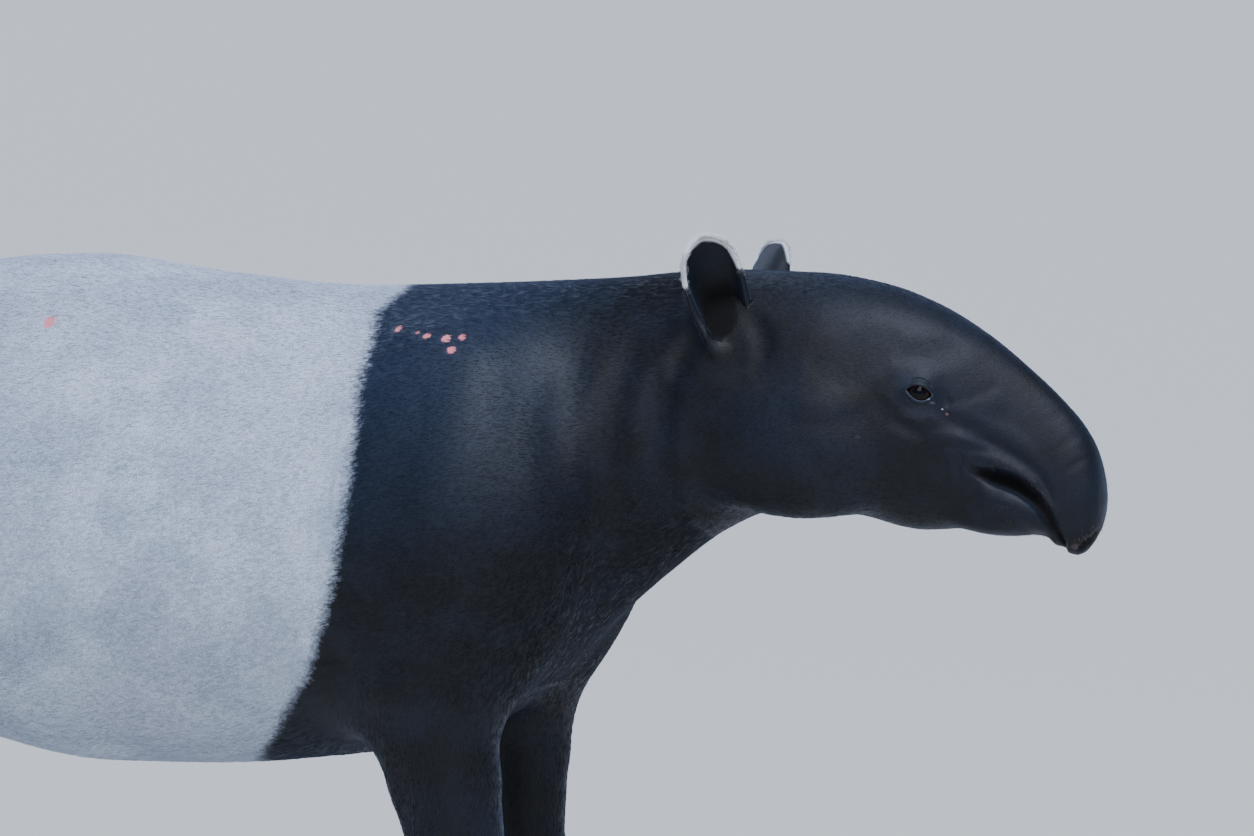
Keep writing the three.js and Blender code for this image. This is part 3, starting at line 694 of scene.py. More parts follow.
@dataclass
class EyeSpot:
    """One eye: its ball, the way it looks and the almond opening between its lids, in millimetres."""

    side: float
    u: float = 200.8
    y: float = 67.3
    z: float = 860.0
    radius: float = 16.3
    half_length: float = 14.8
    rise: float = 7.6
    fall: float = 8.6
    lid: float = 2.3

    def __post_init__(self) -> None:
        """Works out the eye's own axes from the skin round it."""
        at = np.array([[self.u, 78.0 * self.side, self.z]])
        out = unit(HIDE.slope(at))[0]
        out = unit(out * np.array([0.9, 1.0, 0.6]))
        self.centre = np.array([self.u, self.y * self.side, self.z])
        self.out = out
        along = np.array([-1.0, 0.0, -0.17])
        self.along = unit(along - out * (along @ out))
        up = np.array([0.0, 0.0, 1.0])
        self.up = unit(up - out * (up @ out) - self.along * (up @ self.along))

    def local(self, p: Array) -> Array:
        """Places as seen from the eye: along the slit, up across it, and out."""
        q = p - self.centre
        return np.stack([q @ self.along, q @ self.up, q @ self.out], axis=1)

    def world(self, q: Array) -> Array:
        """The way back from local."""
        return self.centre + q[:, :1] * self.along + q[:, 1:2] * self.up + q[:, 2:] * self.out

    def edge(self, a: Array, upper: bool) -> Array:
        """Height of a lid's edge.

        Args:
            a: Places along the slit.
            upper: True for the upper lid.

        Returns:
            One height for each place.
        """
        t = np.clip(1.0 - (a / self.half_length) ** 2, 0.0, 1.0)
        skew = 1.0 - 0.22 * a / self.half_length
        return self.rise * t**0.75 * skew if upper else -self.fall * t**0.85 * (2.0 - skew)

    def gap(self, q: Array) -> Array:
        """Distance outside the opening.

        Args:
            q: Local places.

        Returns:
            One distance for each, below zero within the opening.
        """
        a, b = q[:, 0], q[:, 1]
        tall = np.maximum(b - self.edge(a, True), self.edge(a, False) - b) * 0.85
        beyond = np.maximum(np.abs(a) - self.half_length, 0.0)
        return np.where(beyond > 0, np.hypot(beyond, b), tall)

    def shape(self, p: Array) -> tuple[Array, Array]:
        """Folds the skin over the ball in two lids.

        Args:
            p: Rows of (u, y, z).

        Returns:
            The moved rows, and how much of each belongs to the bare edge of a lid.
        """
        q = self.local(p)
        near = (np.hypot(q[:, 0], q[:, 1]) < 34.0) & (q[:, 2] > -6.0)
        rim = np.zeros(len(p))
        if not near.any():
            return p, rim
        n = q[near]
        far = self.gap(n)
        snap = (np.abs(far) < 0.6) & (np.abs(n[:, 0]) < self.half_length)
        away = np.where(n[:, 1] > 0, 1.0, -1.0)
        n[:, 1] = np.where(snap, n[:, 1] - away * far / 0.85, n[:, 1])
        far = np.where(snap, 0.05, far)
        spread = np.hypot(n[:, 0], n[:, 1])
        ball = np.sqrt(np.maximum(self.radius**2 - np.minimum(spread, self.radius) ** 2, 0.0))
        reach = self.lid * (0.45 + 0.55 * smooth(0.0, 2.6, far))
        # beyond the opening the lids run off the ball in a straight slope into the face
        shoulder = 10.5
        level = math.sqrt(self.radius**2 - shoulder**2)
        sloped = level - (spread - shoulder) * shoulder / level
        over = np.where(spread < shoulder, ball, sloped) + reach
        middle = smooth(17.0, 9.0, np.abs(n[:, 0]))
        crease = 1.5 * np.exp(-(((far - 6.0) / 1.7) ** 2)) * (n[:, 1] > 0) * middle
        under = 0.9 * np.exp(-(((far - 5.2) / 1.5) ** 2)) * (n[:, 1] < 0) * middle
        skin = -smooth_min(-n[:, 2], -over, 13.0) - crease - under
        n[:, 2] = np.where(far > 0, skin, ball - 3.0)
        lower = smooth(2.0, -3.0, n[:, 1]) * 0.85 + 0.15
        rim[near] = smooth(1.9, 0.2, far) * (spread < 22) * lower
        moved = p.copy()
        moved[near] = self.world(n)
        return moved, rim


EYES = {name: EyeSpot(side) for name, side in SIDES.items()}


@dataclass(frozen=True)
class EarShape:
    """A cupped ear: a round-tipped blade curled about its length, thick at the root and thin at the rim.

    Half width, depth of the cup and thickness are pairs of the height up the ear, from 0 to 1, and millimetres.
    """

    root: tuple[float, float, float] = (426.0, 66.0, 905.0)
    length: float = 141.0
    width: tuple = ((-0.2, 25), (0, 25), (0.2, 28), (0.45, 33), (0.65, 34), (0.82, 30), (0.94, 19), (1, 8))
    cup: tuple = ((-0.2, 38), (0, 38), (0.25, 37), (0.5, 29), (0.72, 18), (0.9, 8), (1, 4))
    thickness: tuple = ((-0.2, 26), (0, 20), (0.16, 13), (0.3, 9), (0.6, 6.5), (1, 4.5))
    foot: float = -0.16
    wrap: float = 0.42

    def axes(self, name: str) -> tuple[Array, Array, Array]:
        """The ear's own axes.

        Args:
            name: right or left.

        Returns:
            Up, across and facing, in the frame's directions for a left ear.
        """
        up = unit(np.array([-0.18, 0.3, 0.94] if name == "right" else [-0.22, 0.6, 0.77]))
        facing = np.array([0.5, 0.86, 0.12] if name == "right" else [0.5, 0.8, -0.1])
        facing = unit(facing - up * (facing @ up))
        return up, np.cross(up, facing), facing

    def surface(self, name: str, s: Array, t: Array, back: Array | float = 0.0) -> Array:
        """Places on the ear.

        Args:
            name: right or left.
            s: Round the cup, from -1 to 1.
            t: Up the ear, from 0 at the root to 1.
            back: How far behind the middle of its thickness.

        Returns:
            Rows of (u, y, z).
        """
        up, across, facing = self.axes(name)
        wide = np.interp(t, *np.array(self.width).T)
        deep = np.interp(t, *np.array(self.cup).T)
        bend = s * math.pi / 2 * (1.0 + self.wrap * smooth(0.42, 0.0, t))
        side = (np.sin(bend) * (wide + 0.9 * back))[:, None]
        fore = (6.0 - np.cos(bend) * (deep + back))[:, None]
        point = (t * self.length)[:, None] * up + side * across + fore * facing
        place = turned(point) + np.array(self.root)
        place[:, 1] *= SIDES[name]
        return place

    def rim(self, name: str) -> Array:
        """Places along the rim, from half way up the front edge over the tip and down the back edge.

        Args:
            name: right or left.

        Returns:
            Rows of (u, y, z).
        """
        edge, tip = np.ones(12), np.linspace(-1.0, 1.0, 25)
        rise = np.linspace(0.66, 0.86, 12)
        t = np.concatenate([rise, 0.98 - 0.1 * tip**2, rise[::-1]])
        return self.surface(name, np.concatenate([-edge, tip, edge]), t)

    def inside(self, p: Array, name: str) -> tuple[Array, Array]:
        """Where places lie along and away from the ear's own line.

        Args:
            p: Rows of (u, y, z).
            name: right or left.

        Returns:
            Height from 0 at the root to 1, and the distance from the line.
        """
        up, _, facing = self.axes(name)
        q = self.seen(p, name)
        t = q @ up / self.length
        off = q - (t * self.length)[:, None] * up + 14.0 * facing
        return t, np.linalg.norm(off, axis=1)

    def seen(self, p: Array, name: str) -> Array:
        """Places as seen from the root, in the frame's directions for a left ear."""
        return turned(p - np.array(self.root) * np.array([1.0, SIDES[name], 1.0]), SIDES[name])

    def build(self, name: str) -> bpy.types.Object:
        """Curls a grid into the cup and gives it its thickness.

        Args:
            name: right or left.

        Returns:
            The closed ear.
        """
        alone()
        bpy.ops.mesh.primitive_grid_add(x_subdivisions=20, y_subdivisions=18, size=2.0)
        ear = bpy.context.object
        flat = points_of(ear)
        t = self.foot + (flat[:, 1] + 1.0) / 2 * (1.0 - self.foot)
        # the grid is bowed so that its rows close round the tip of the ear
        t = t - 0.10 * (flat[:, 0] ** 2) * smooth(0.55, 1.0, t)
        set_points(ear, to_frame(self.surface(name, flat[:, 0], t)))
        group = ear.vertex_groups.new(name="thickness")
        share = np.interp(t, *np.array(self.thickness).T) / self.thickness[0][1]
        for i, amount in enumerate(share):
            group.add([i], float(amount), "REPLACE")
        thick = self.thickness[0][1] / MM
        shape_by(ear, "SOLIDIFY", thickness=thick, offset=0.0, vertex_group=group.name, use_even_offset=True)
        shape_by(ear, "SUBSURF", levels=1, render_levels=1)
        with editing():
            bpy.ops.mesh.normals_make_consistent(inside=False)
        return ear


EAR = EarShape()


def by_ears(p: Array, low: float) -> Array:
    """Which places lie round the ears and above a height, in millimetres."""
    return (p[:, 0] > 340) & (p[:, 0] < 540) & (p[:, 2] > low)


def ear_root(p: Array, low: float, high: float) -> Array:
    """Which places lie round the root of an ear.

    Args:
        p: Rows of (u, y, z).
        low: Least height over the head's skin, in millimetres.
        high: Greatest height over it.

    Returns:
        True for each place in the ring.
    """
    zone = by_ears(p, 860)
    near = p[zone]
    away = HIDE.distance(near) + HIDE.depth(near)
    ring = np.zeros(len(near), dtype=bool)
    for name in SIDES:
        t, off = EAR.inside(near, name)
        ring |= (t < 0.3) & (off < 62)
    found = np.zeros(len(p), dtype=bool)
    found[zone] = ring & (away > low) & (away < high)
    return found


def on_ear(p: Array, name: str, low: float, reach: float, clear: float) -> Array:
    """Which places lie on an ear.

    Args:
        p: Rows of (u, y, z).
        name: right or left.
        low: Least height along the ear, in parts of its length.
        reach: Greatest distance from the ear's own line.
        clear: Least distance from the head's form.

    Returns:
        True for each place on the ear.
    """
    t, off = EAR.inside(p, name)
    return (t > low) & (off < reach) & (HIDE.distance(p) > clear)


def eye_distance(p: Array) -> Array:
    """Distance of each place from the middle of the nearer eye."""
    return np.minimum(*(np.linalg.norm(p - spot.centre, axis=1) for spot in EYES.values()))


def feed(tree: bpy.types.NodeTree, node: bpy.types.Node, inputs: dict) -> None:
    """Gives a node's inputs their values and links.

    Args:
        tree: The material's node tree.
        node: The node.
        inputs: What each input gets: a fixed value, a colour in hex or another node's output.
    """
    for name, value in inputs.items():
        if isinstance(value, Socket):
            tree.links.new(value, node.inputs[name])
        else:
            node.inputs[name].default_value = linear(value) if isinstance(value, str) else value


def add_node(
    tree: bpy.types.NodeTree, kind: str, inputs: dict | None = None, output: int | str = 0, **settings: object
) -> Socket:
    """Adds a node with its settings and links.

    Args:
        tree: The material's node tree.
        kind: The node's type, after the word ShaderNode.
        inputs: What each input gets.
        output: Which output is wanted.
        settings: Properties of the node.

    Returns:
        The output.
    """
    node = tree.nodes.new(f"ShaderNode{kind}")
    for name, value in settings.items():
        setattr(node, name, value)
    feed(tree, node, inputs or {})
    return node.outputs[output]


@dataclass(frozen=True)
class Spot:
    """A coloured mark at a place on the skin: its half sizes in millimetres and its colour."""

    place: tuple[float, float, float]
    size: tuple[float, float, float]
    colour: str
    strength: float = 1.0
    soft: float = 0.2


SORES = (
    Spot((816.6, -120.7, 922.8), (5, 8, 7), "d98088"),
    Spot((787.3, -134.9, 919.9), (3.5, 5, 4), "cf7a80"),
    Spot((773.1, -142.5, 916.2), (6, 7, 5), "d98088"),
    Spot((747.5, -144.8, 914.7), (6, 7, 7), "dd8a90"),
    Spot((729.5, -140.2, 916.0), (5, 7, 5), "cf7a80"),
    Spot((736.7, -156.6, 902.0), (6, 7, 5.5), "d98088"),
    Spot((1237.7, -168.4, 923.6), (7, 9, 12), "dd8a90"),
)

FACE_SPOTS = (
    Spot((168.0, -70.0, 836.0), (2.6, 4, 2.6), "b06a70", 0.9),
    Spot((173.2, -72.0, 842.0), (1.35, 6, 1.35), "a3a7b6", 0.8),
    Spot((185.0, -75.0, 858.5), (1.5, 6, 1.7), "9c8f78", 0.85),
    Spot((187.5, -76.0, 854.0), (2.2, 6, 1.3), "707c90", 0.7),
    Spot((182.5, -77.0, 849.5), (3.4, 6, 2.0), "4c4860", 0.6),
    Spot((28.0, -22.0, 685.0), (7, 7, 4), "5d5654", 0.5),
    Spot((44.0, -25.0, 688.0), (6, 7, 4), "4a4442", 0.5),
    Spot((263.0, -103.0, 811.0), (4, 6, 2.2), "3a383a", 0.35),
)


# lilac skin that shows through the thin hair under and over each eye
EYE_TINTS = tuple(
    Spot((u, y * side, z), size, colour, strength, 0.6)
    for side in SIDES.values()
    for u, y, z, size, colour, strength in (
        (194, 81, 838, (25, 16, 8), "2a2b38", 0.55),
        (213, 80, 874, (13, 14, 8), "252c3b", 0.5),
    )
)


@dataclass(frozen=True)
class Finish:
    """A finish whose look is set on one Principled shader."""

    def make(self, name: str) -> bpy.types.Material:
        """Builds the material.

        Args:
            name: The material's name.

        Returns:
            The material.
        """
        material = bpy.data.materials.new(name)
        material.use_nodes = True
        tree = material.node_tree
        feed(tree, tree.nodes["Principled BSDF"], self.inputs(tree))
        return material

    def inputs(self, tree: bpy.types.NodeTree) -> dict:
        """What the shader's inputs get, by name."""
        raise NotImplementedError


@dataclass(frozen=True)
class HideFinish(Finish):
    """Short flat tapir hair over skin: near-black with a cold sheen, and a pale ash-grey saddle.

    The black hair is glossy enough to turn blue-grey where the sky light grazes it, and the saddle is matt and
    softly mottled. Each hair is 0.1 mm thick, too fine to show, so the grain is drawn 1.4 mm wide. A paler
    blue-grey is painted into the black over the withers as sky sheen. The skin has the marks, the grain and the
    bare edges of the lids too, with shade painted in the mouth slit, the nostrils and the ear cups, and the hair
    over it has a tone of its own.
    """

    skin: bool
    black: str = "07090f"
    black_high: str = "111724"
    grey: str = "a6b2c5"
    grey_high: str = "c3cfe0"
    # a paler blue-grey painted over the black hair of the withers and neck: painted sky sheen
    painted_sheen: str = "1f2a3d"
    lilac: str = "adb1c6"
    lid: str = "323948"
    # near-black painted shade for the mouth slit, the nostrils and the cups of the ears
    hollow: str = "060505"
    rim: str = "dcdde2"
    sheen: str = "8aa1d0"
    grain: float = 700.0
    roughness: float = 0.52
    grey_roughness: float = 0.66
    wander: float = 0.024
    ragged: float = 0.016

    def inputs(self, tree: bpy.types.NodeTree) -> dict:
        """Works out the colour, the roughness and, on the skin, the grain.

        Args:
            tree: The material's node tree.

        Returns:
            What the shader's inputs get.
        """
        place = add_node(tree, "TexCoord", output="Object")
        names = ("saddle", "painted_sheen", "lid", "hollow", "white", "leg") if self.skin else ("saddle", "painted_sheen", "tone")
        stored = {name: add_node(tree, "Attribute", output="Fac", attribute_name=name) for name in names}
        noise = {
            name: add_node(
                tree, "TexNoise", {"Scale": scale, "Detail": detail, "Roughness": 0.55, "Vector": place}, "Fac"
            )
            for name, scale, detail in (
                ("wander", 16.0, 2.0), ("ragged", 190.0, 2.0), ("black", 9.0, 5.0), ("ash", 11.0, 3.0),
                ("lilac", 4.0, 3.0), ("fleck", 620.0, 2.0), ("spot", 330.0, 1.0), ("soft", 90.0, 4.0),
            )
        }
        # the saddle's edge wanders by about 10 mm and is ragged by the length of a hair; noise is 0.5 on average
        edge = stored["saddle"]
        for name, size in (("wander", self.wander), ("ragged", self.ragged)):
            edge = add_node(tree, "Math", {0: noise[name], 1: size, 2: edge}, operation="MULTIPLY_ADD")
        middle = (self.wander + self.ragged) / 2
        ranges = [
            ("saddle", edge, middle - 0.011, middle + 0.011, 0.0, 1.0),
            ("black", noise["black"], 0.38, 0.66, 0.0, 1.0),
            ("ash", noise["ash"], 0.3, 0.7, 0.0, 1.0),
            ("lilac", noise["lilac"], 0.4, 0.72, 0.0, 0.6),
            ("fleck", noise["fleck"], 0.3, 0.75, 0.68, 1.32),
        ]
        if not self.skin:
            ranges[-1] = ("fleck", stored["tone"], 0.0, 1.0, 0.84, 1.2)
        spots = EYE_TINTS + SORES + FACE_SPOTS if self.skin else ()
        for i, spot in enumerate(spots):
            scale = {"Vector": place, "Location": to_frame([spot.place])[0], "Scale": np.array(spot.size) / MM}
            off = add_node(tree, "Mapping", scale, vector_type="TEXTURE")
            far = add_node(tree, "VectorMath", {0: off}, 1, operation="LENGTH")
            far = add_node(tree, "Math", {0: noise["spot"], 1: 0.7, 2: far}, operation="MULTIPLY_ADD")
            ranges.append((i, far, 1.3 - spot.soft, 1.3 + spot.soft, spot.strength, 0.0))
        amount = {
            name: add_node(
                tree,
                "MapRange",
                {"Value": source, "From Min": low, "From Max": high, "To Min": start, "To Max": end},
                interpolation_type="SMOOTHSTEP",
            )
            for name, source, low, high, start, end in ranges
        }
        # over the withers the black is lightened towards blue-grey: painted sky sheen
        black = ((amount["black"], self.black_high), (stored["painted_sheen"], self.painted_sheen))
        ash = ((amount["ash"], self.grey_high), (amount["lilac"], self.lilac))
        black, ash = self.layered(tree, self.black, black), self.layered(tree, self.grey, ash)
        colour = self.layered(tree, black, ((amount["saddle"], ash),))
        colour = add_node(tree, "HueSaturation", {"Color": colour, "Value": amount["fleck"]})
        rough = add_node(
            tree, "MapRange", {"Value": amount["saddle"], "To Min": self.roughness, "To Max": self.grey_roughness}
        )
        inputs = {
            "Sheen Weight": 0.17, "Sheen Roughness": 0.4, "Sheen Tint": self.sheen, "Specular IOR Level": 0.27,
            "IOR": 1.5,
        }
        if self.skin:
            # painted shade darkens the mouth slit, the nostrils and the ear cups, which are made matt as well
            marks = [(stored["lid"], self.lid), (stored["hollow"], self.hollow), (stored["white"], self.rim)]
            marks += [(amount[i], spot.colour) for i, spot in enumerate(spots)]
            colour = self.layered(tree, colour, marks)
            dull = add_node(tree, "Math", {0: stored["hollow"], 1: 0.95}, operation="MULTIPLY")
            rough = add_node(tree, "Math", {0: rough, 1: dull}, operation="MAXIMUM")
            inputs["Normal"] = self.bump(tree, place, stored["leg"], noise["soft"])
        return inputs | {"Base Color": colour, "Roughness": rough}

    def layered(self, tree: bpy.types.NodeTree, colour: str | Socket, layers: Sequence[tuple]) -> str | Socket:
        """Lays colours over one another.

        Args:
            tree: The material's node tree.
            colour: The colour below.
            layers: Pairs of amount and colour, from the lowest up.

        Returns:
            The colour that shows.
        """
        for amount, over in layers:
            colour = add_node(tree, "Mix", {0: amount, 6: colour, 7: over}, 2, data_type="RGBA")
        return colour

    def bump(self, tree: bpy.types.NodeTree, place: Socket, leg: Socket, soft: Socket) -> Socket:
        """The grain of the hair, which lies back on the body and hangs on the legs.

        Args:
            tree: The material's node tree.
            place: The place on the skin.
            leg: How much of the place belongs to a leg.
            soft: Broad uneven noise.

        Returns:
            The normal.
        """
        grains = []
        for stretch in ((0.2, 1.0, 1.0), (1.0, 1.0, 0.2)):
            along = add_node(tree, "Mapping", {"Vector": place, "Scale": stretch})
            values = {"Scale": self.grain, "Detail": 3.0, "Roughness": 0.55, "Vector": along}
            grains.append(add_node(tree, "TexNoise", values, "Fac"))
        grain = add_node(tree, "Mix", {0: leg, 2: grains[0], 3: grains[1]}, data_type="FLOAT")
        height = add_node(tree, "Math", {0: soft, 1: 0.9}, operation="MULTIPLY")
        height = add_node(tree, "Math", {0: grain, 1: 0.6, 2: height}, operation="MULTIPLY_ADD")
        return add_node(tree, "Bump", {"Height": height, "Strength": 0.42, "Distance": 0.0011})


@dataclass(frozen=True)
class HairFinish(Finish):
    """Loose single hairs of one colour: matt, with a little change from hair to hair."""

    colour: str
    tip: str
    roughness: float = 0.6

    def inputs(self, tree: bpy.types.NodeTree) -> dict:
        """Mixes the two colours by each hair's own tone.

        Args:
            tree: The material's node tree.

        Returns:
            What the shader's inputs get.
        """
        tone = add_node(tree, "Attribute", output="Fac", attribute_name="tone")
        colour = add_node(tree, "Mix", {0: tone, 6: self.colour, 7: self.tip}, 2, data_type="RGBA")
        return {"Base Color": colour, "Roughness": self.roughness}


@dataclass(frozen=True)
class HornFinish(Finish):
    """Hoof horn, worn dull: dark brown, paler and scuffed at the ground.

    Its growth rings, 4 mm apart, are in the mesh, and the bump adds fine streaks down the wall and slow waves.
    """

    dark: str = "121010"
    light: str = "2c2724"
    worn: str = "4e473f"
    worn_height: float = 0.012

    def inputs(self, tree: bpy.types.NodeTree) -> dict:
        """Works out the streaks, the worn edge and the bump.

        Args:
            tree: The material's node tree.

        Returns:
            What the shader's inputs get.
        """
        place = add_node(tree, "TexCoord", output="Object")
        waves = {"Scale": 16.5, "Distortion": 1.6, "Detail": 2.0, "Detail Scale": 3.0, "Vector": place}
        waves = add_node(tree, "TexWave", waves, "Fac", wave_type="BANDS", bands_direction="Z")
        steep = add_node(tree, "Mapping", {"Vector": place, "Scale": (1.0, 1.0, 0.12)})
        streaks = add_node(tree, "TexNoise", {"Scale": 420.0, "Detail": 3.0, "Vector": steep}, "Fac")
        height = add_node(tree, "SeparateXYZ", {0: place}, "Z")
        low = add_node(tree, "MapRange", {"Value": height, "From Min": self.worn_height, "From Max": 0.0})
        colour = add_node(tree, "Mix", {0: streaks, 6: self.dark, 7: self.light}, 2, data_type="RGBA")
        colour = add_node(tree, "Mix", {0: low, 6: colour, 7: self.worn}, 2, data_type="RGBA")
        total = add_node(tree, "Math", {0: waves, 1: streaks}, operation="ADD")
        bump = add_node(tree, "Bump", {"Height": total, "Strength": 0.5, "Distance": 0.0006})
        return {"Base Color": colour, "Normal": bump, "Roughness": 0.55}


@dataclass(frozen=True)
class EyeFinish(Finish):
    """A wet eyeball: dark brown iris round a wide black pupil, and a dark white, under a clear wet film."""

    pupil: str = "030407"
    iris: str = "200e08"
    iris_rim: str = "0c0605"
    white: str = "130e0e"

    def inputs(self, tree: bpy.types.NodeTree) -> dict:
        """Draws the pupil and the iris round the eye's own line of sight, alike on both sides.

        Args:
            tree: The material's node tree.

        Returns:
            What the shader's inputs get.
        """
        place = add_node(tree, "TexCoord", output="Object")
        even = add_node(tree, "VectorMath", {0: place}, operation="ABSOLUTE")
        eye = EYES["left"]
        centre = to_frame(eye.centre[None])[0]
        off = add_node(tree, "VectorMath", {0: even, 1: centre}, operation="SUBTRACT")
        # millimetres along the slit, drawn a little wide, up across it and out
        along, up, fore = (
            add_node(tree, "VectorMath", {0: off, 1: turned(axis) * scale}, 1, operation="DOT_PRODUCT")
            for axis, scale in ((eye.along, 0.8 * MM), (eye.up, MM), (eye.out, MM))
        )
        disc = add_node(tree, "CombineXYZ", {0: along, 1: up})
        radius = add_node(tree, "VectorMath", {0: disc}, 1, operation="LENGTH")
        fibres = add_node(tree, "TexNoise", {"Scale": 900.0, "Detail": 3.0, "Vector": place}, "Fac")
        ruffle = add_node(tree, "Math", {0: fibres, 1: 0.05}, operation="MULTIPLY")
        scaled = add_node(tree, "Math", {0: radius, 1: 0.05, 2: ruffle}, operation="MULTIPLY_ADD")
        ramp = add_node(tree, "ValToRGB", {"Fac": scaled})
        stops = ramp.node.color_ramp.elements
        stops[1].position = 0.33
        for stop in stops:
            stop.color = linear(self.pupil)
        for at, colour in ((0.38, self.iris), (0.5, self.iris), (0.56, self.iris_rim), (0.62, self.white)):
            stops.new(at).color = linear(colour)
        front = add_node(tree, "MapRange", {"Value": fore, "From Min": 0.0, "From Max": 3.0})
        return {
            "Base Color": add_node(tree, "Mix", {0: front, 6: self.white, 7: ramp}, 2, data_type="RGBA"),
            "Roughness": 0.2, "Specular IOR Level": 0.04,
            "Coat Weight": 0.5, "Coat IOR": 1.33, "Coat Roughness": 0.02,
        }


@dataclass(frozen=True)
class FloorFinish(Finish):
    """Plain studio floor paint: pale, matt and even."""

    colour: str = "d8d5cc"

    def inputs(self, tree: bpy.types.NodeTree) -> dict:
        """What the shader's inputs get, by name."""
        return {"Base Color": self.colour, "Roughness": 0.85}


# height of the saddle's hind edge: up from the groin across the thigh to the buttock
THIGH_LINE = sampled(
    ((0, 0), (1290, 330), (1345, 398), (1410, 492), (1480, 556), (1580, 594), (1700, 618), (1816, 640))
)


def saddle_distance(p: Array) -> Array:
    """How far inside the pale saddle each place lies, in metres.

    Args:
        p: Rows of (u, y, z).

    Returns:
        One distance for each row, below zero on the black.
    """
    u, z = p[:, 0], p[:, 2]
    heights = (390, 440, 520, 620, 750, 880, 918, 937, 962, 975)
    front = np.interp(z, heights, (1030, 965, 900, 858, 838, 840, 847, 853, 844, 840))
    back = (z - np.interp(u, ALONG, THIGH_LINE)) / np.interp(u, ALONG, np.hypot(1.0, np.gradient(THIGH_LINE)))
    return np.minimum(u - front, back) / MM


def painted_sheen_share(p: Array) -> Array:
    """How much of a paler blue-grey, painted as sky sheen, the black hair gets, from 0 to 1: most over the
    withers, and a little along the neck.
    """
    return smooth(520.0, 740.0, p[:, 0]) * smooth(620.0, 900.0, p[:, 2])


def leg_share(p: Array) -> Array:
    """How much the hair hangs down a leg.

    Args:
        p: Rows of (u, y, z).

    Returns:
        A share from 0 to 1 for each row.
    """
    u, z = p[:, 0], p[:, 2]
    fore = smooth(980.0, 880.0, u) * smooth(560.0, 640.0, u)
    hind = smooth(1380.0, 1470.0, u)
    return np.maximum(fore, hind) * smooth(600.0, 440.0, z)


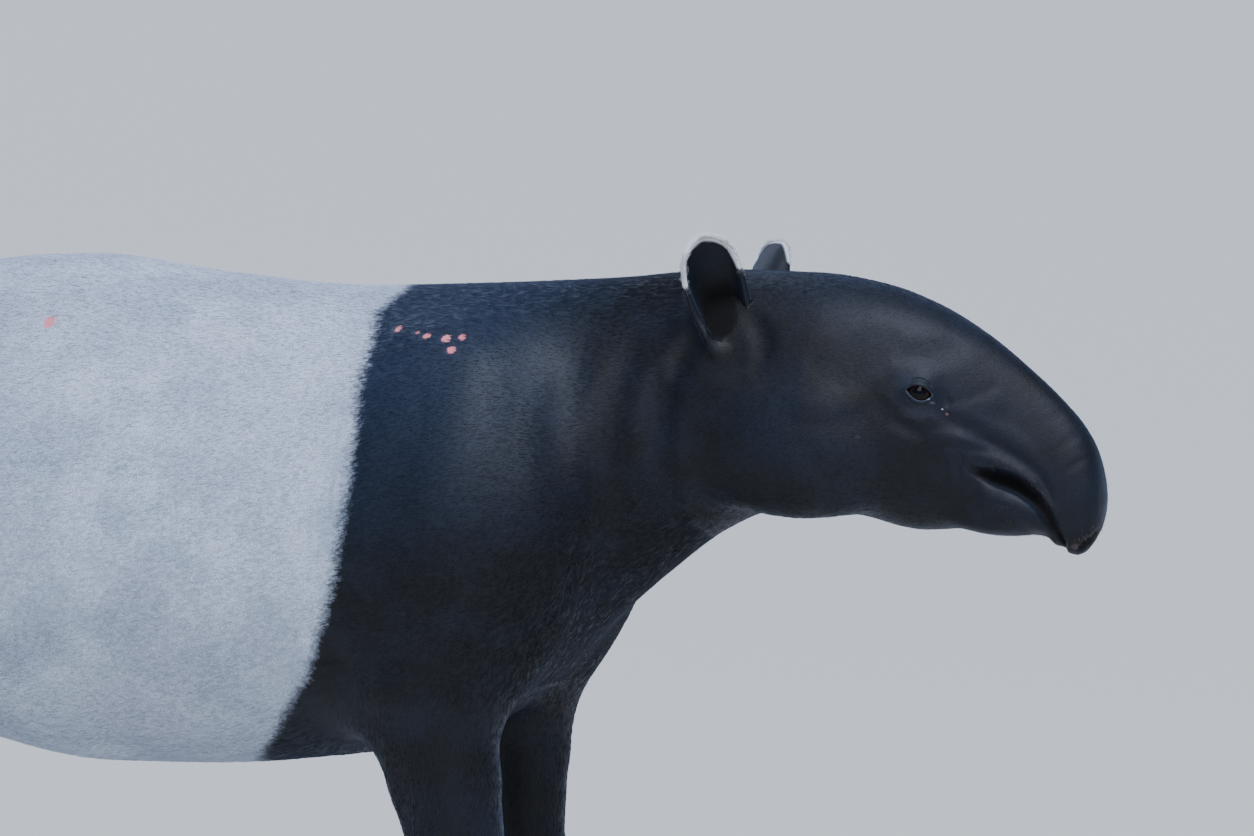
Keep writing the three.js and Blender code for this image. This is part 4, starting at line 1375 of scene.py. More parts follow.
@dataclass
class Skin:
    """The one skin that stands for all the flesh of the frame."""

    voxel: float = 0.0115
    swell: float = 0.0006
    name: str = "skin"

    def flesh_names(self) -> list[str]:
        """The frame's nodes that the skin replaces."""
        return [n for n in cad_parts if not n.startswith(("eye_", "hoof_"))]

    def build(self) -> bpy.types.Object:
        """Joins the flesh into one closed skin and works it up to its folds and lids.

        Returns:
            The finished skin.
        """
        skin = self.join_flesh()
        self.lay(skin, 3)
        self.add_ears(skin)
        for zones in ((self.near_ends,), (self.near_features,), (self.near_edges, self.near_lids)):
            for zone in zones:
                self.refine(skin, zone)
            self.lay(skin, 1)
        self.ease(skin, 6)
        self.crease(skin)
        self.open_eyes(skin)
        self.mark(skin)
        return skin

    def join_flesh(self) -> bpy.types.Object:
        """Copies the flesh without the ears, fills the hoof sockets and makes it all one surface.

        Returns:
            The skin, still without folds, ears and lids.
        """
        copies = []
        for name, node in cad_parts.items():
            if name.startswith(("ear_", "eye_")):
                continue
            part = node.copy()
            part.data = part.data.copy()
            bpy.context.collection.objects.link(part)
            alone(part)
            with editing():
                bpy.ops.mesh.remove_doubles(threshold=0.00002)
            set_points(part, points_of(part) + points_of(part, "normal") * self.swell)
            copies.append(part)
        alone(copies[0])
        for part in copies:
            part.select_set(True)
        bpy.ops.object.join()
        skin = bpy.context.object
        skin.name = skin.data.name = self.name
        skin.data.materials.clear()
        while skin.data.uv_layers:
            skin.data.uv_layers.remove(skin.data.uv_layers[0])
        skin.data.remesh_voxel_size = self.voxel
        bpy.ops.object.voxel_remesh()
        with editing():
            bpy.ops.mesh.vertices_smooth(factor=0.5, repeat=3)
        return skin

    def lay(self, skin: bpy.types.Object, rounds: int) -> None:
        """Moves the skin, apart from the ears, onto the hide's form.

        Args:
            skin: The skin.
            rounds: How often each of its vertices is moved.
        """
        p = to_body(points_of(skin))
        moved = HIDE.settle(p.copy(), rounds)
        share = self.ear_share(p)[:, None]
        set_points(skin, to_frame(p * share + moved * (1.0 - share)))

    def ear_share(self, p: Array) -> Array:
        """How much of each place belongs to an ear.

        Args:
            p: Rows of (u, y, z).

        Returns:
            0 on the head, rising to 1 a little way up the ear.
        """
        share = np.zeros(len(p))
        zone = by_ears(p, 880)
        near = p[zone]
        if len(near):
            share[zone] = smooth(1.0, 4.0, HIDE.distance(near) + HIDE.depth(near))
        return share

    def add_ears(self, skin: bpy.types.Object) -> None:
        """Joins both ears to the head and eases the join.

        Args:
            skin: The skin.
        """
        for name in SIDES:
            ear = EAR.build(name)
            shape_by(skin, "BOOLEAN", operation="UNION", solver="EXACT", object=ear)
            bpy.data.objects.remove(ear)
        skin.vertex_groups.clear()
        self.ease(skin, 16)

    def ease(self, skin: bpy.types.Object, repeat: int) -> None:
        """Smooths the skin round the root of each ear.

        Args:
            skin: The skin.
            repeat: How often.
        """
        self.select_points(skin, ear_root(to_body(points_of(skin)), -2.5, 13.0))
        with editing(None):
            bpy.ops.mesh.vertices_smooth(factor=0.5, repeat=repeat)

    def select_points(self, skin: bpy.types.Object, chosen: Array) -> None:
        """Selects vertices, and the faces and edges that they make up.

        Args:
            skin: The skin.
            chosen: True for each vertex to select.
        """
        alone(skin)
        with editing(None):
            bpy.ops.mesh.select_mode(type="VERT")
            bpy.ops.mesh.select_all(action="DESELECT")
        skin.data.vertices.foreach_set("select", chosen)
        with editing(None):
            bpy.ops.mesh.select_mode(type="FACE")

    def refine(self, skin: bpy.types.Object, chooser: Callable[[Array], Array]) -> None:
        """Divides the faces in a zone once.

        Args:
            skin: The skin.
            chooser: Says which places are in the zone.
        """
        self.select_points(skin, chooser(to_body(points_of(skin))))
        with editing(None):
            bpy.ops.mesh.subdivide(number_cuts=1, smoothness=0.0)

    def near_ends(self, p: Array) -> Array:
        """The head with its ears, the feet and the stub of the tail."""
        tail = (p[:, 0] > 1680) & (np.abs(p[:, 1]) < 72) & (p[:, 2] > 650)
        return (p[:, 0] < 560) | (p[:, 2] < 130) | tail

    def near_features(self, p: Array) -> Array:
        """Round the mouth, the nostrils and the eyes.

        Args:
            p: Rows of (u, y, z).

        Returns:
            True for each place in the zone.
        """
        mouth = (p[:, 0] < 165) & (p[:, 2] < 812) & (np.abs(p[:, 1]) > 12)
        tip = (p[:, 0] < 60) & (p[:, 2] < 725)
        return mouth | tip | (eye_distance(p) < 50)

    def near_lids(self, p: Array) -> Array:
        """The lids themselves."""
        return eye_distance(p) < 25

    def near_edges(self, p: Array) -> Array:
        """Right beside the edges of the lids, the lips and the nostrils.

        Args:
            p: Rows of (u, y, z).

        Returns:
            True for each place in the zone.
        """
        near = eye_distance(p) < 28
        for fold in FACE_FOLDS:
            if fold.flat > 0:
                near |= np.abs(fold.rise(p)) > 0.05
        return near

    def crease(self, skin: bpy.types.Object) -> None:
        """Works the folds, hollows and muscles into the skin, and stores where shade is painted: the mouth slit,
        the nostrils and the cups of the ears.

        Args:
            skin: The skin.
        """
        p = to_body(points_of(skin))
        for group in (BODY_FOLDS, FACE_FOLDS):
            out = turned(points_of(skin, "normal"))
            rise = np.zeros(len(p))
            q = np.stack([p[:, 0], np.abs(p[:, 1]), p[:, 2]], axis=1)
            for fold in group:
                line = np.array(fold.line, dtype=float)
                reach = fold.width + 5.0
                zone = ((q > line.min(axis=0) - reach) & (q < line.max(axis=0) + reach)).all(axis=1)
                rise[zone] += fold.rise(p[zone])
            rise *= 1.0 - self.ear_share(p)
            if group is FACE_FOLDS:
                sunk = np.minimum(MOUTH.rise(p), NOSTRIL.rise(p)) / MOUTH.height
            p = p + out * rise[:, None]
            set_points(skin, to_frame(p))
        # where shade is painted: deep in the mouth slit and the nostrils, and inside the cup of each ear
        deep = smooth(0.1, 0.5, np.abs(sunk))
        for name in SIDES:
            t, off = EAR.inside(p, name)
            reach = 19.0 + 12.0 * smooth(0.4, 0.15, t)
            deep = np.maximum(deep, smooth(reach + 7.0, reach, off) * smooth(0.8, 0.4, t) * (t > -0.35))
        write_number(skin, "hollow", deep)

    def open_eyes(self, skin: bpy.types.Object) -> None:
        """Folds the lids over both eyes, and stores their bare edges.

        Args:
            skin: The skin.
        """
        p = to_body(points_of(skin))
        rim = np.zeros(len(p))
        for spot in EYES.values():
            p, edge = spot.shape(p)
            rim = np.maximum(rim, edge)
        set_points(skin, to_frame(p))
        write_number(skin, "lid", rim)

    def mark(self, skin: bpy.types.Object) -> None:
        """Stores the markings and the lie of the hair on the skin, and shades it smooth.

        Args:
            skin: The skin.
        """
        p = to_body(points_of(skin))
        write_number(skin, "saddle", saddle_distance(p))
        write_number(skin, "leg", leg_share(p))
        white = np.zeros(len(p))
        zone = by_ears(p, 940)
        for name in SIDES:
            far = np.linalg.norm(p[zone][:, None] - EAR.rim(name)[None], axis=2).min(axis=1)
            white[zone] = np.maximum(white[zone], smooth(7.0, 3.5, far))
        write_number(skin, "white", white)
        # share of painted sky sheen, highest over the withers
        write_number(skin, "painted_sheen", painted_sheen_share(p))
        alone(skin)
        bpy.ops.object.shade_smooth()


class Region(Enum):
    """The regions of the coat: each one's name, its number of tufts and the length of a tuft in millimetres."""

    HEAD = ("coat_head", 48000, 6.0)
    NECK = ("coat_neck", 38000, 9.0)
    SHOULDERS = ("coat_shoulders", 44000, 9.5)
    BARREL = ("coat_barrel", 49500, 10.5)
    RUMP = ("coat_rump", 46000, 10.0)
    FORELEGS = ("coat_forelegs", 38000, 7.5)
    HINDLEGS = ("coat_hindlegs", 40000, 8.0)


# places of some regions in that order, from which the coat tells them
HEAD, RUMP, FORELEG, HINDLEG = 0, 4, 5, 6


@dataclass
class Roots:
    """Where hairs grow: places and frame directions, one row for each."""

    place: Array
    normal: Array
    flow: Array


@dataclass
class Coat:
    """Short flat tufts over the whole skin, as closed thin blades that follow the lie of the hair."""

    skin: bpy.types.Object
    finish: bpy.types.Material
    seed: int = 20
    patch: float = 0.003

    def __post_init__(self) -> None:
        """Reads the skin's triangles once."""
        mesh = self.skin.data
        mesh.calc_loop_triangles()
        corners = np.empty(len(mesh.loop_triangles) * 3, dtype=np.int32)
        mesh.loop_triangles.foreach_get("vertices", corners)
        self.corners = corners.reshape(-1, 3)
        self.points = to_body(points_of(self.skin))
        self.normals = turned(points_of(self.skin, "normal"))
        a, b, c = (self.points[self.corners[:, i]] for i in range(3))
        self.areas = np.linalg.norm(np.cross(b - a, c - a), axis=1) / 2
        self.middles = (a + b + c) / 3
        self.bare = np.zeros(len(mesh.vertices), dtype=np.float32)
        for name in ("lid", "hollow", "white"):
            values = np.empty(len(mesh.vertices), dtype=np.float32)
            mesh.attributes[name].data.foreach_get("value", values)
            self.bare = np.maximum(self.bare, values)

    def region_of(self, p: Array) -> Array:
        """Which region each place belongs to.

        Args:
            p: Rows of (u, y, z).

        Returns:
            The region's number for each row.
        """
        u, z = p[:, 0], p[:, 2]
        region = np.select([u < 470, u < 640, u < 900, u < 1340], [HEAD, 1, 2, 3], RUMP)
        fore = (z < 500) & (u > 600) & (u < 905) & (HIDE.torso(p) > -12)
        hind = (z < 520) & (u > 1440)
        return np.where(hind, HINDLEG, np.where(fore, FORELEG, region))

    def flow(self, p: Array) -> Array:
        """Which way the hair lies.

        Args:
            p: Rows of (u, y, z).

        Returns:
            One direction in body places for each row.
        """
        leg = leg_share(p)[:, None]
        body = np.array([1.0, 0.0, -0.28])
        down = np.array([0.22, 0.0, -1.0])
        chest = (smooth(700.0, 560.0, p[:, 0]) * smooth(700.0, 600.0, p[:, 2]))[:, None]
        face = (smooth(260.0, 60.0, p[:, 0]) * smooth(700.0, 760.0, p[:, 2]))[:, None]
        way = body * (1 - leg) + down * leg
        way = way + np.array([0.0, 0.0, -0.6]) * chest + np.array([0.0, 0.0, 0.75]) * face
        stub = (p[:, 0] > 1745) & (np.abs(p[:, 1]) < 42) & (p[:, 2] > 670) & (HIDE.torso(p) > 3.0)
        way = np.where(stub[:, None], np.array([0.35, 0.0, -1.0]), way)
        for name, side in SIDES.items():
            on = on_ear(p, name, 0.16, 60, 3.0)
            way = np.where(on[:, None], turned(EAR.axes(name)[0], side), way)
        return way

    def grow(self, region: int, count: int, rng: np.random.Generator) -> Roots:
        """Scatters roots evenly over one region.

        Args:
            region: The region's number.
            count: How many roots.
            rng: The source of chance.

        Returns:
            The roots.
        """
        weight = self.areas * (self.region_of(self.middles) == region)
        if region == HEAD:
            # the face is divided finely, and its hair is shorter and closer towards the muzzle
            weight = weight * (1.0 + 1.4 * smooth(300.0, 60.0, self.middles[:, 0]))
        bare = self.bare[self.corners].max(axis=1) > 0.15
        weight = np.where(bare, 0.0, weight)
        for spot in EYES.values():
            q = spot.local(self.middles)
            hole = (np.hypot(q[:, 0], q[:, 1]) < 16.0) & (spot.gap(q) < 0.8) & (q[:, 2] > 0)
            weight = np.where(hole, 0.0, weight)
        weight = np.where(ear_root(self.middles, 0.8, 7.0), 0.0, weight)
        slant = self.normals[self.corners].mean(axis=1)
        for name, side in SIDES.items():
            # the inside of the cup is all but bare
            t, off = EAR.inside(self.middles, name)
            opens = slant @ turned(EAR.axes(name)[2], side)
            weight = np.where((t > -0.12) & (t < 0.97) & (off < 42) & (opens > 0.1), 0.1 * weight, weight)
        chance = np.cumsum(weight)
        pick = np.minimum(np.searchsorted(chance, rng.random(count) * chance[-1]), len(weight) - 1)
        r, s = np.sqrt(rng.random(count)), rng.random(count)
        share = np.stack([1 - r, r * (1 - s), r * s], axis=1)[:, :, None]
        place = (self.points[self.corners[pick]] * share).sum(axis=1)
        normal = unit((self.normals[self.corners[pick]] * share).sum(axis=1))
        keep = np.ones(count, dtype=bool)
        for spot in SORES:
            far = np.linalg.norm((place - spot.place) / np.array(spot.size), axis=1)
            keep &= far > 1.25
        keep &= place[:, 2] > 6.0
        place, normal = place[keep], normal[keep]
        return Roots(place, normal, self.flow(place))

    def unwrap(self, p: Array, region: int) -> Array:
        """Where each root lies on the flat pattern of its region's skin.

        Args:
            p: Rows of (u, y, z).
            region: The region's number.

        Returns:
            Rows of pattern places between 0 and 1.
        """
        u, y, z = p.T
        if region < FORELEG:
            mid = np.interp(u, ALONG, HIDE.middle)
            round_it = np.arctan2(y, z - mid) / (2 * np.pi) + 0.5
            along = (u - u.min()) / max(np.ptp(u), 1.0)
            flat = np.stack([along * 0.96 + 0.02, round_it * 0.86 + 0.02], axis=1)
            for i, name in enumerate(SIDES if region == HEAD else ()):
                _, across, facing = EAR.axes(name)
                q = EAR.seen(p, name)
                turn = np.arctan2(q @ across, -(q @ facing)) / (2 * np.pi) + 0.5
                rise = 0.9 + 0.09 * np.clip(EAR.inside(p, name)[0], 0, 1)
                spot = np.stack([turn * 0.46 + 0.02 + 0.5 * i, rise], axis=1)
                flat = np.where(on_ear(p, name, 0.1, 62, 2.0)[:, None], spot, flat)
            return flat
        flat = np.zeros((len(p), 2))
        for i, (name, side) in enumerate(SIDES.items()):
            joints = HIDE.legs[("fore" if region == FORELEG else "hind", name)][::-1]
            heights = [j.z for j in joints]
            cu, cy = np.interp(z, heights, [j.u for j in joints]), np.interp(z, heights, [j.y for j in joints])
            turn = np.arctan2(y - cy, u - cu) / (2 * np.pi) + 0.5
            spot = np.stack([turn * 0.46 + 0.02 + 0.5 * i, z / 540.0 * 0.95 + 0.02], axis=1)
            flat = np.where((y * side > 0)[:, None], spot, flat)
        return flat

    def blades(
        self,
        name: str,
        roots: Roots,
        region: int,
        lengths: Array,
        lift: Array,
        finish: bpy.types.Material,
        rng: np.random.Generator,
        slim: float = 8.5,
        soft: float | None = 0.86,
    ) -> bpy.types.Object:
        """Builds a piece of the coat: one closed blade of four triangles on each root.

        Args:
            name: The piece's name.
            roots: Where the blades stand.
            region: The number of the region whose flat pattern they lie on.
            lengths: Length of each, in millimetres.
            lift: How far each leans out from the skin, in radians.
            finish: Its finish.
            rng: The source of chance.
            slim: Length of a blade in widths.
            soft: How much of the skin's own shading the blades take, or None for none.

        Returns:
            The piece.
        """
        n = roots.normal
        count = len(n)
        pattern = self.unwrap(roots.place, region)
        flow = unit(roots.flow - n * (roots.flow * n).sum(axis=1, keepdims=True) + 1e-4)
        side = np.cross(n, flow)
        yaw = rng.normal(0.0, 0.16, count)[:, None]
        flow = unit(flow * np.cos(yaw) + side * np.sin(yaw))
        side = np.cross(n, flow)
        lean = flow * np.cos(lift[:, None]) + n * np.sin(lift[:, None])
        size = lengths[:, None]
        wide = size / slim
        base = roots.place - n * 0.25
        ridge = base + n * wide * 0.42 + flow * wide * 0.3
        tip = roots.place + lean * size
        corners = np.stack([base - side * wide / 2, base + side * wide / 2, ridge, tip], axis=1)
        tris = np.array([[3, 1, 0], [3, 2, 1], [3, 0, 2], [1, 2, 0]])
        faces = (np.arange(count)[:, None, None] * 4 + tris[None]).reshape(-1)
        mesh = bpy.data.meshes.new(name)
        mesh.vertices.add(count * 4)
        mesh.vertices.foreach_set("co", to_frame(corners.reshape(-1, 3)).ravel())
        mesh.loops.add(len(faces))
        mesh.loops.foreach_set("vertex_index", faces.astype(np.int32))
        mesh.polygons.add(count * 4)
        mesh.polygons.foreach_set("loop_start", np.arange(0, len(faces), 3, dtype=np.int32))
        mesh.update(calc_edges=True)
        # each blade takes its colour from one small patch of the pattern, at its root's place
        patch = np.array([[0, 0], [self.patch, 0], [self.patch / 2, self.patch / 3], [self.patch / 2, self.patch]])
        layer = mesh.uv_layers.new(name="OFBake")
        places = (pattern[:, None, :] + patch[None] - self.patch / 2).reshape(-1, 2)
        layer.uv.foreach_set("vector", places[faces].astype(np.float32).ravel())
        mesh.polygons.foreach_set("use_smooth", np.ones(count * 4, dtype=bool))
        if soft is not None:
            own = np.repeat(n, 4, axis=0).reshape(count, 4, 3)
            spread = np.stack([-side, side, n, n], axis=1)
            shade = unit(own * soft + spread * (1 - soft))
            mesh.normals_split_custom_set_from_vertices(turned(shade.reshape(-1, 3)))
        piece = placed(name, mesh)
        write_number(piece, "tone", np.repeat(np.clip(rng.normal(0.5, 0.22, count), 0, 1), 4))
        mesh.materials.append(finish)
        return piece

    def build(self, region: Region, number: int) -> bpy.types.Object:
        """Grows one region's tufts.

        Args:
            region: The region.
            number: Its number.

        Returns:
            The piece of coat.
        """
        name, count, length = region.value
        rng = np.random.default_rng(self.seed + number)
        count = count
        roots = self.grow(number, count, rng)
        p = roots.place
        face = smooth(330.0, 80.0, p[:, 0])
        feet = smooth(200.0, 50.0, p[:, 2])
        ears = np.zeros(len(p), dtype=bool)
        for side in SIDES if region is Region.HEAD else ():
            ears |= on_ear(p, side, 0.14, 60, 2.0)
        short = 1.0 - 0.45 * face - 0.4 * feet - 0.25 * ears
        lengths = length * short * rng.uniform(0.7, 1.25, len(p))
        lengths *= 1.0 - 0.5 * smooth(34.0, 18.0, eye_distance(p))
        lift = np.radians(rng.uniform(3.0, 8.0, len(p)))
        piece = self.blades(name, roots, number, lengths, lift, self.finish, rng)
        write_number(piece, "saddle", np.repeat(saddle_distance(p), 4))
        # each tuft takes the share of painted sky sheen at its root
        write_number(piece, "painted_sheen", np.repeat(painted_sheen_share(p), 4))
        return piece

    def rim_hairs(self, finish: bpy.types.Material) -> bpy.types.Object:
        """White hairs along the rim of both ears, thickest at the tip.

        Args:
            finish: The hairs' finish.

        Returns:
            The piece.
        """
        rng = np.random.default_rng(self.seed + 50)
        places, outs, flows, fades = [], [], [], []
        count = 5200
        for name, side in SIDES.items():
            s = np.sign(rng.random(count) - 0.5) * (1.0 - 0.10 * rng.random(count) ** 2)
            t = 0.90 - 0.34 * rng.random(count) ** 1.4
            tip = rng.random(count) < 0.55
            s = np.where(tip, rng.uniform(-0.98, 0.98, count), s)
            t = np.where(tip, 0.985 - 0.1 * s**2 - 0.02 * rng.random(count), t)
            back = rng.normal(0.0, 1.8, count)
            place = EAR.surface(name, s, t, back)
            inner = EAR.surface(name, s * 0.86, t - 0.06, back)
            way = unit(place - inner)
            out = unit(np.cross(way, turned(EAR.axes(name)[2], side)[None]))
            fades.append(0.35 + 0.65 * smooth(0.56, 0.78, t))
            places.append(place - way * 1.2)
            outs.append(out)
            flows.append(way + rng.normal(0, 0.28, (count, 3)))
        roots = Roots(np.concatenate(places), np.concatenate(outs), np.concatenate(flows))
        lengths = rng.uniform(3.0, 8.0, len(roots.place)) * np.concatenate(fades)
        lift = np.radians(rng.normal(0.0, 14.0, len(lengths)))
        return self.blades("ear_rim_hairs", roots, HEAD, lengths, lift, finish, rng, 9.0, None)

    def face_hairs(self, finish: bpy.types.Material) -> bpy.types.Object:
        """Lashes on the upper lids, and bristles on the lips and chin.

        Args:
            finish: The hairs' finish.

        Returns:
            The piece.
        """
        rng = np.random.default_rng(self.seed + 60)
        places, outs, flows, sizes = [], [], [], []
        count = lashes = 150
        for eye in EYES.values():
            a = rng.uniform(-0.92, 0.92, count) * eye.half_length
            b = eye.edge(a, True) + rng.uniform(0.3, 1.0, count)
            ball = np.sqrt(np.maximum(eye.radius**2 - np.hypot(a, b) ** 2, 0.0)) + eye.lid * 0.7
            q = np.stack([a, b, ball], axis=1)
            places.append(eye.world(q))
            outs.append(np.repeat(eye.up[None], count, axis=0) + rng.normal(0, 0.1, (count, 3)))
            flows.append(eye.out + eye.along * (a / 40.0)[:, None] - eye.up * 0.12)
            sizes.append(rng.uniform(4.0, 7.5, count))
        lines = (
            (((126, 57, 742), (96, 50, 728), (74, 44, 712), (58, 37, 701)), 150, 9.0),
            (((96, 36, 700), (76, 32, 697), (60, 26, 694)), 200, 5.0),
            (((120, 57, 790), (92, 50, 776), (66, 45, 752), (54, 41, 728)), 300, 5.0),
            (((30, 30, 690), (16, 26, 694), (6, 16, 708)), 200, 4.0),
        )
        for line, count, wide in lines:
            line = np.array(line, dtype=float)
            t = rng.uniform(0, len(line) - 1.001, count)
            i = t.astype(int)
            point = line[i] + (line[i + 1] - line[i]) * (t - i)[:, None] + rng.normal(0, wide, (count, 3))
            point[:, 1] *= np.sign(rng.random(count) - 0.5)
            near = self.nearest(point)
            places.append(self.points[near])
            outs.append(self.normals[near])
            flows.append(np.array([[-0.5, 0.0, -1.0]]) + rng.normal(0, 0.3, (count, 3)))
            sizes.append(rng.uniform(3.5, 8.0, count))
        roots = Roots(np.concatenate(places), unit(np.concatenate(outs)), np.concatenate(flows))
        lengths = np.concatenate(sizes)
        lift = np.radians(rng.uniform(14.0, 42.0, len(lengths)))
        lift[: lashes * len(EYES)] = math.radians(12.0)
        return self.blades("face_hairs", roots, HEAD, lengths, lift, finish, rng, 22.0, None)

    def nearest(self, p: Array) -> Array:
        """The skin's vertex that is nearest to each place on the muzzle.

        Args:
            p: Rows of (u, y, z).

        Returns:
            One vertex number for each row.
        """
        zone = np.flatnonzero(self.points[:, 0] < 200)
        found = np.empty(len(p), dtype=int)
        for i, place in enumerate(p):
            found[i] = zone[np.argmin(((self.points[zone] - place) ** 2).sum(axis=1))]
        return found

    def tail_hairs(self, finish: bpy.types.Material) -> bpy.types.Object:
        """Longer sparse hairs round the tip of the tail.

        Args:
            finish: The hairs' finish.

        Returns:
            The piece.
        """
        rng = np.random.default_rng(self.seed + 70)
        count = 900
        u, y, z = self.points.T
        near = np.flatnonzero((u > 1795) & (z < 775) & (np.abs(y) < 32) & (z > 680))
        pick = rng.choice(near, count)
        roots = Roots(
            self.points[pick] + rng.normal(0, 1.5, (count, 3)),
            self.normals[pick],
            np.array([[0.25, 0.0, -1.0]]) + rng.normal(0, 0.12, (count, 3)),
        )
        lengths = rng.uniform(8.0, 14.0, count)
        lift = np.radians(rng.uniform(2.0, 6.0, count))
        return self.blades("tail_hairs", roots, RUMP, lengths, lift, finish, rng, 18.0, 0.6)


@dataclass
class Eyeball:
    """A ball with a raised clear front."""

    spot: EyeSpot
    bulge: float = 1.1

    def build(self, name: str) -> bpy.types.Object:
        """Adds the ball at its place and raises its front.

        Args:
            name: right or left.

        Returns:
            The eyeball.
        """
        alone()
        centre = to_frame(self.spot.centre[None])[0]
        bpy.ops.mesh.primitive_uv_sphere_add(
            segments=48, ring_count=32, radius=self.spot.radius / MM, location=tuple(centre)
        )
        ball = bpy.context.object
        ball.name = ball.data.name = f"eyeball_{name}"
        bpy.ops.object.transform_apply(location=True, rotation=True, scale=True)
        p = points_of(ball)
        out = unit(p - centre)
        facing = out @ turned(self.spot.out)
        rise = self.bulge / MM * smooth(math.cos(math.radians(42)), 1.0, facing)
        set_points(ball, p + out * rise[:, None])
        alone(ball)
        bpy.ops.object.shade_smooth()
        return ball


@dataclass
class Hoof:
    """A horn shoe: rounded in front, steep-walled, with growth rings and a flat worn sole."""

    back: float = 4.0
    front: float = 41.0
    half_width: float = 20.5
    height: float = 38.0
    corners: int = 28
    rings: int = 9

    def pattern(self) -> bpy.types.Object:
        """Models one hoof at full size, standing at the origin and pointing along X.

        Returns:
            The hoof.
        """
        alone()
        bpy.ops.mesh.primitive_circle_add(vertices=self.corners, radius=1.0, fill_type="NGON")
        hoof = bpy.context.object
        flat = points_of(hoof)
        half, middle = (self.back + self.front) / 2, (self.front - self.back) / 2
        turn = np.arctan2(flat[:, 1], flat[:, 0])
        plan = np.stack(
            [
                middle + half * np.sign(np.cos(turn)) * np.abs(np.cos(turn)) ** 0.86,
                self.half_width * np.sign(np.sin(turn)) * np.abs(np.sin(turn)) ** 0.86,
                np.zeros(len(flat)),
            ],
            axis=1,
        )
        set_points(hoof, plan / MM)
        with editing():
            done = 0.0
            for i in range(1, self.rings + 1):
                t = i / self.rings
                z = self.height * t
                bpy.ops.mesh.extrude_region_move(
                    TRANSFORM_OT_translate={"value": (-0.0013, 0.0, (z - done) / MM)}
                )
                # every other ring stands out a little from the wall
                shrink = 1.0 - 0.035 * t - (0.012 if i % 2 else -0.006)
                bpy.ops.transform.resize(
                    value=(shrink if i > 1 else 1.0, 1.0 - 0.022 * (i > 1), 1.0),
                    center_override=(0.0, 0.0, z / MM),
                )
                done = z
            bpy.ops.mesh.select_all(action="SELECT")
            bpy.ops.mesh.normals_make_consistent(inside=False)
        edge = math.radians(50)
        shape_by(hoof, "BEVEL", width=0.0022, segments=2, limit_method="ANGLE", angle_limit=edge)
        bpy.ops.object.shade_smooth_by_angle(angle=math.radians(40))
        return hoof

    def place_all(self, finish: bpy.types.Material) -> dict[str, bpy.types.Object]:
        """Copies the pattern to each toe, turned and sized for it.

        Args:
            finish: The horn.

        Returns:
            The hooves by the names of the nodes that they replace.
        """
        pattern = self.pattern()
        made = {}
        for kind, side in HIDE.legs:
            for toe, u, y, turn in HIDE.toe_spots(kind, side):
                node = f"hoof_{kind}_{side}_{toe.name}"
                mesh = pattern.data.copy()
                spot = Matrix.Translation(Vector(((NOSE - u) / MM, y / MM, 0.0)))
                mesh.transform(spot @ Matrix.Rotation(turn, 4, "Z") @ Matrix.Scale(toe.size, 4))
                mesh.materials.clear()
                mesh.materials.append(finish)
                made[node] = placed(node.replace("hoof", "horn"), mesh)
        bpy.data.objects.remove(pattern)
        return made


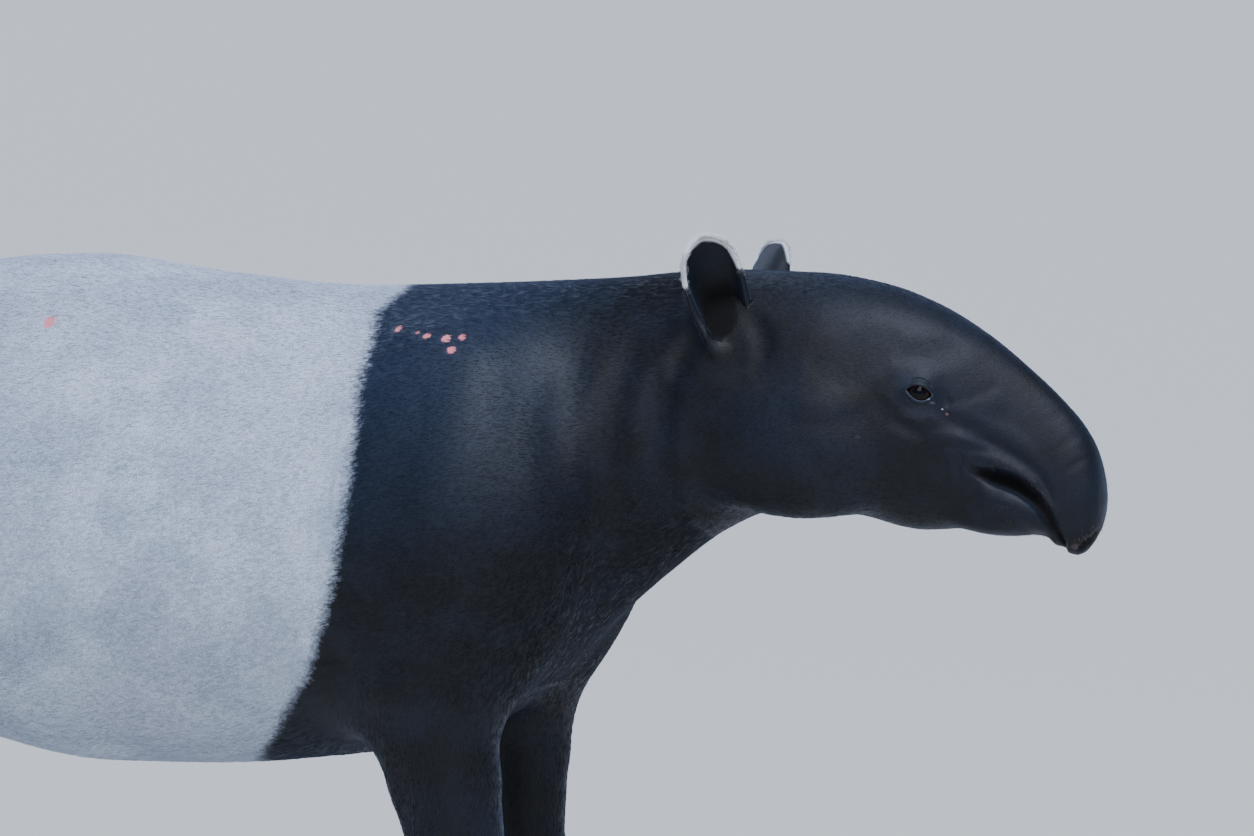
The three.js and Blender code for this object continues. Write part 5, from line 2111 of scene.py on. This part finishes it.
@dataclass
class Studio:
    """Floor, lights and camera."""

    floor_radius: float = 90.0
    target: tuple[float, float, float] = (0.3434, 0.0, 0.8143)
    camera_at: tuple[float, float, float] = (3.06915, -7.48893, 1.51154)
    lens: float = 197.5
    sky: str = "b9cdf2"
    sky_strength: float = 0.62

    def build(self) -> None:
        """Sets up the room and the camera."""
        alone()
        bpy.ops.mesh.primitive_circle_add(vertices=64, radius=self.floor_radius, fill_type="NGON")
        floor = bpy.context.object
        floor.name = "floor"
        floor.data.materials.append(FloorFinish().make("studio_floor_paint"))
        world = bpy.data.worlds.new("studio")
        world.use_nodes = True
        background = world.node_tree.nodes["Background"]
        background.inputs["Color"].default_value = linear(self.sky)
        background.inputs["Strength"].default_value = self.sky_strength
        bpy.context.scene.world = world
        key, back = linear("e9f0ff")[:3], linear("dce6ff")[:3]
        self.lamp("key", "SUN", (0.45, -0.6, 1.5), energy=3.0, angle=math.radians(22.0), color=key)
        self.lamp("back", "SUN", (-0.9, 0.7, 0.9), energy=0.8, angle=math.radians(40.0), color=back)
        window = self.lamp("window", "AREA", (1.1, -3.2, 2.3), energy=60.0, size=2.2)
        window.location = (1.6, -3.2, 3.1)
        camera = bpy.data.cameras.new("camera")
        camera.lens = self.lens
        camera.sensor_width = 36.0
        camera.clip_start, camera.clip_end = 0.1, 400.0
        eye = placed("camera", camera)
        eye.location = self.camera_at
        way = Vector(self.target) - Vector(self.camera_at)
        eye.rotation_euler = way.to_track_quat("-Z", "Y").to_euler()
        bpy.context.scene.camera = eye

    def lamp(self, name: str, kind: str, way: tuple[float, float, float], **settings: object) -> bpy.types.Object:
        """Adds a soft light.

        Args:
            name: Its name.
            kind: SUN for one far off, AREA for one close by.
            way: The way from the animal to the light.
            settings: The light's settings.

        Returns:
            The lamp.
        """
        light = bpy.data.lights.new(name, kind)
        for setting, value in settings.items():
            setattr(light, setting, value)
        lamp = placed(name, light)
        lamp.rotation_euler = Vector(way).to_track_quat("Z", "Y").to_euler()
        return lamp


@dataclass
class Tapir:
    """The whole model: skin, coat, eyes and hooves."""

    def build(self) -> None:
        """Builds each piece, gives it its finish, rides it on the frame and hides the frame's nodes that it
        replaces.
        """
        skin_part = Skin()
        skin = skin_part.build()
        skin.data.materials.append(HideFinish(True).make("tapir_hide"))
        self.keep(skin, "black_coat", skin_part.flesh_names())
        coat = Coat(skin, HideFinish(False).make("tapir_coat_hair"))
        for number, region in enumerate(Region):
            piece = coat.build(region, number)
            self.keep(piece, "grey_coat" if region in (Region.BARREL, Region.RUMP) else "black_coat")
        for grow, name, colour, tip in (
            (coat.rim_hairs, "white_ear_hair", "d6d7dc", "f2f2f4"),
            (coat.face_hairs, "dark_bristle", "1a1614", "6b5a4a"),
            (coat.tail_hairs, "grey_tail_hair", "8b8c94", "b4b5bc"),
        ):
            self.keep(grow(HairFinish(colour, tip).make(name)), "black_coat")
        wet = EyeFinish().make("wet_eye")
        for name, spot in EYES.items():
            ball = Eyeball(spot).build(name)
            ball.data.materials.append(wet)
            self.keep(ball, "eye", [f"eye_{name}"])
        for node, hoof in Hoof().place_all(HornFinish().make("hoof_horn")).items():
            self.keep(hoof, "hoof_horn", [node])

    def keep(self, piece: bpy.types.Object, slot: str, nodes: Sequence[str] = ()) -> None:
        """Rides a piece on the frame and reports it.

        Args:
            piece: The finished piece.
            slot: A material slot's name; not used.
            nodes: The frame's nodes that it replaces.
        """
        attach(piece, "root")
        if nodes:
            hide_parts(*nodes)
        LOG.info("%s: %d faces", piece.name, len(piece.data.polygons))


def main() -> None:
    """Builds the animal and the studio."""
    logging.basicConfig(level=logging.INFO, format="%(message)s")
    Tapir().build()
    Studio().build()


if __name__ == "__main__":
    main()
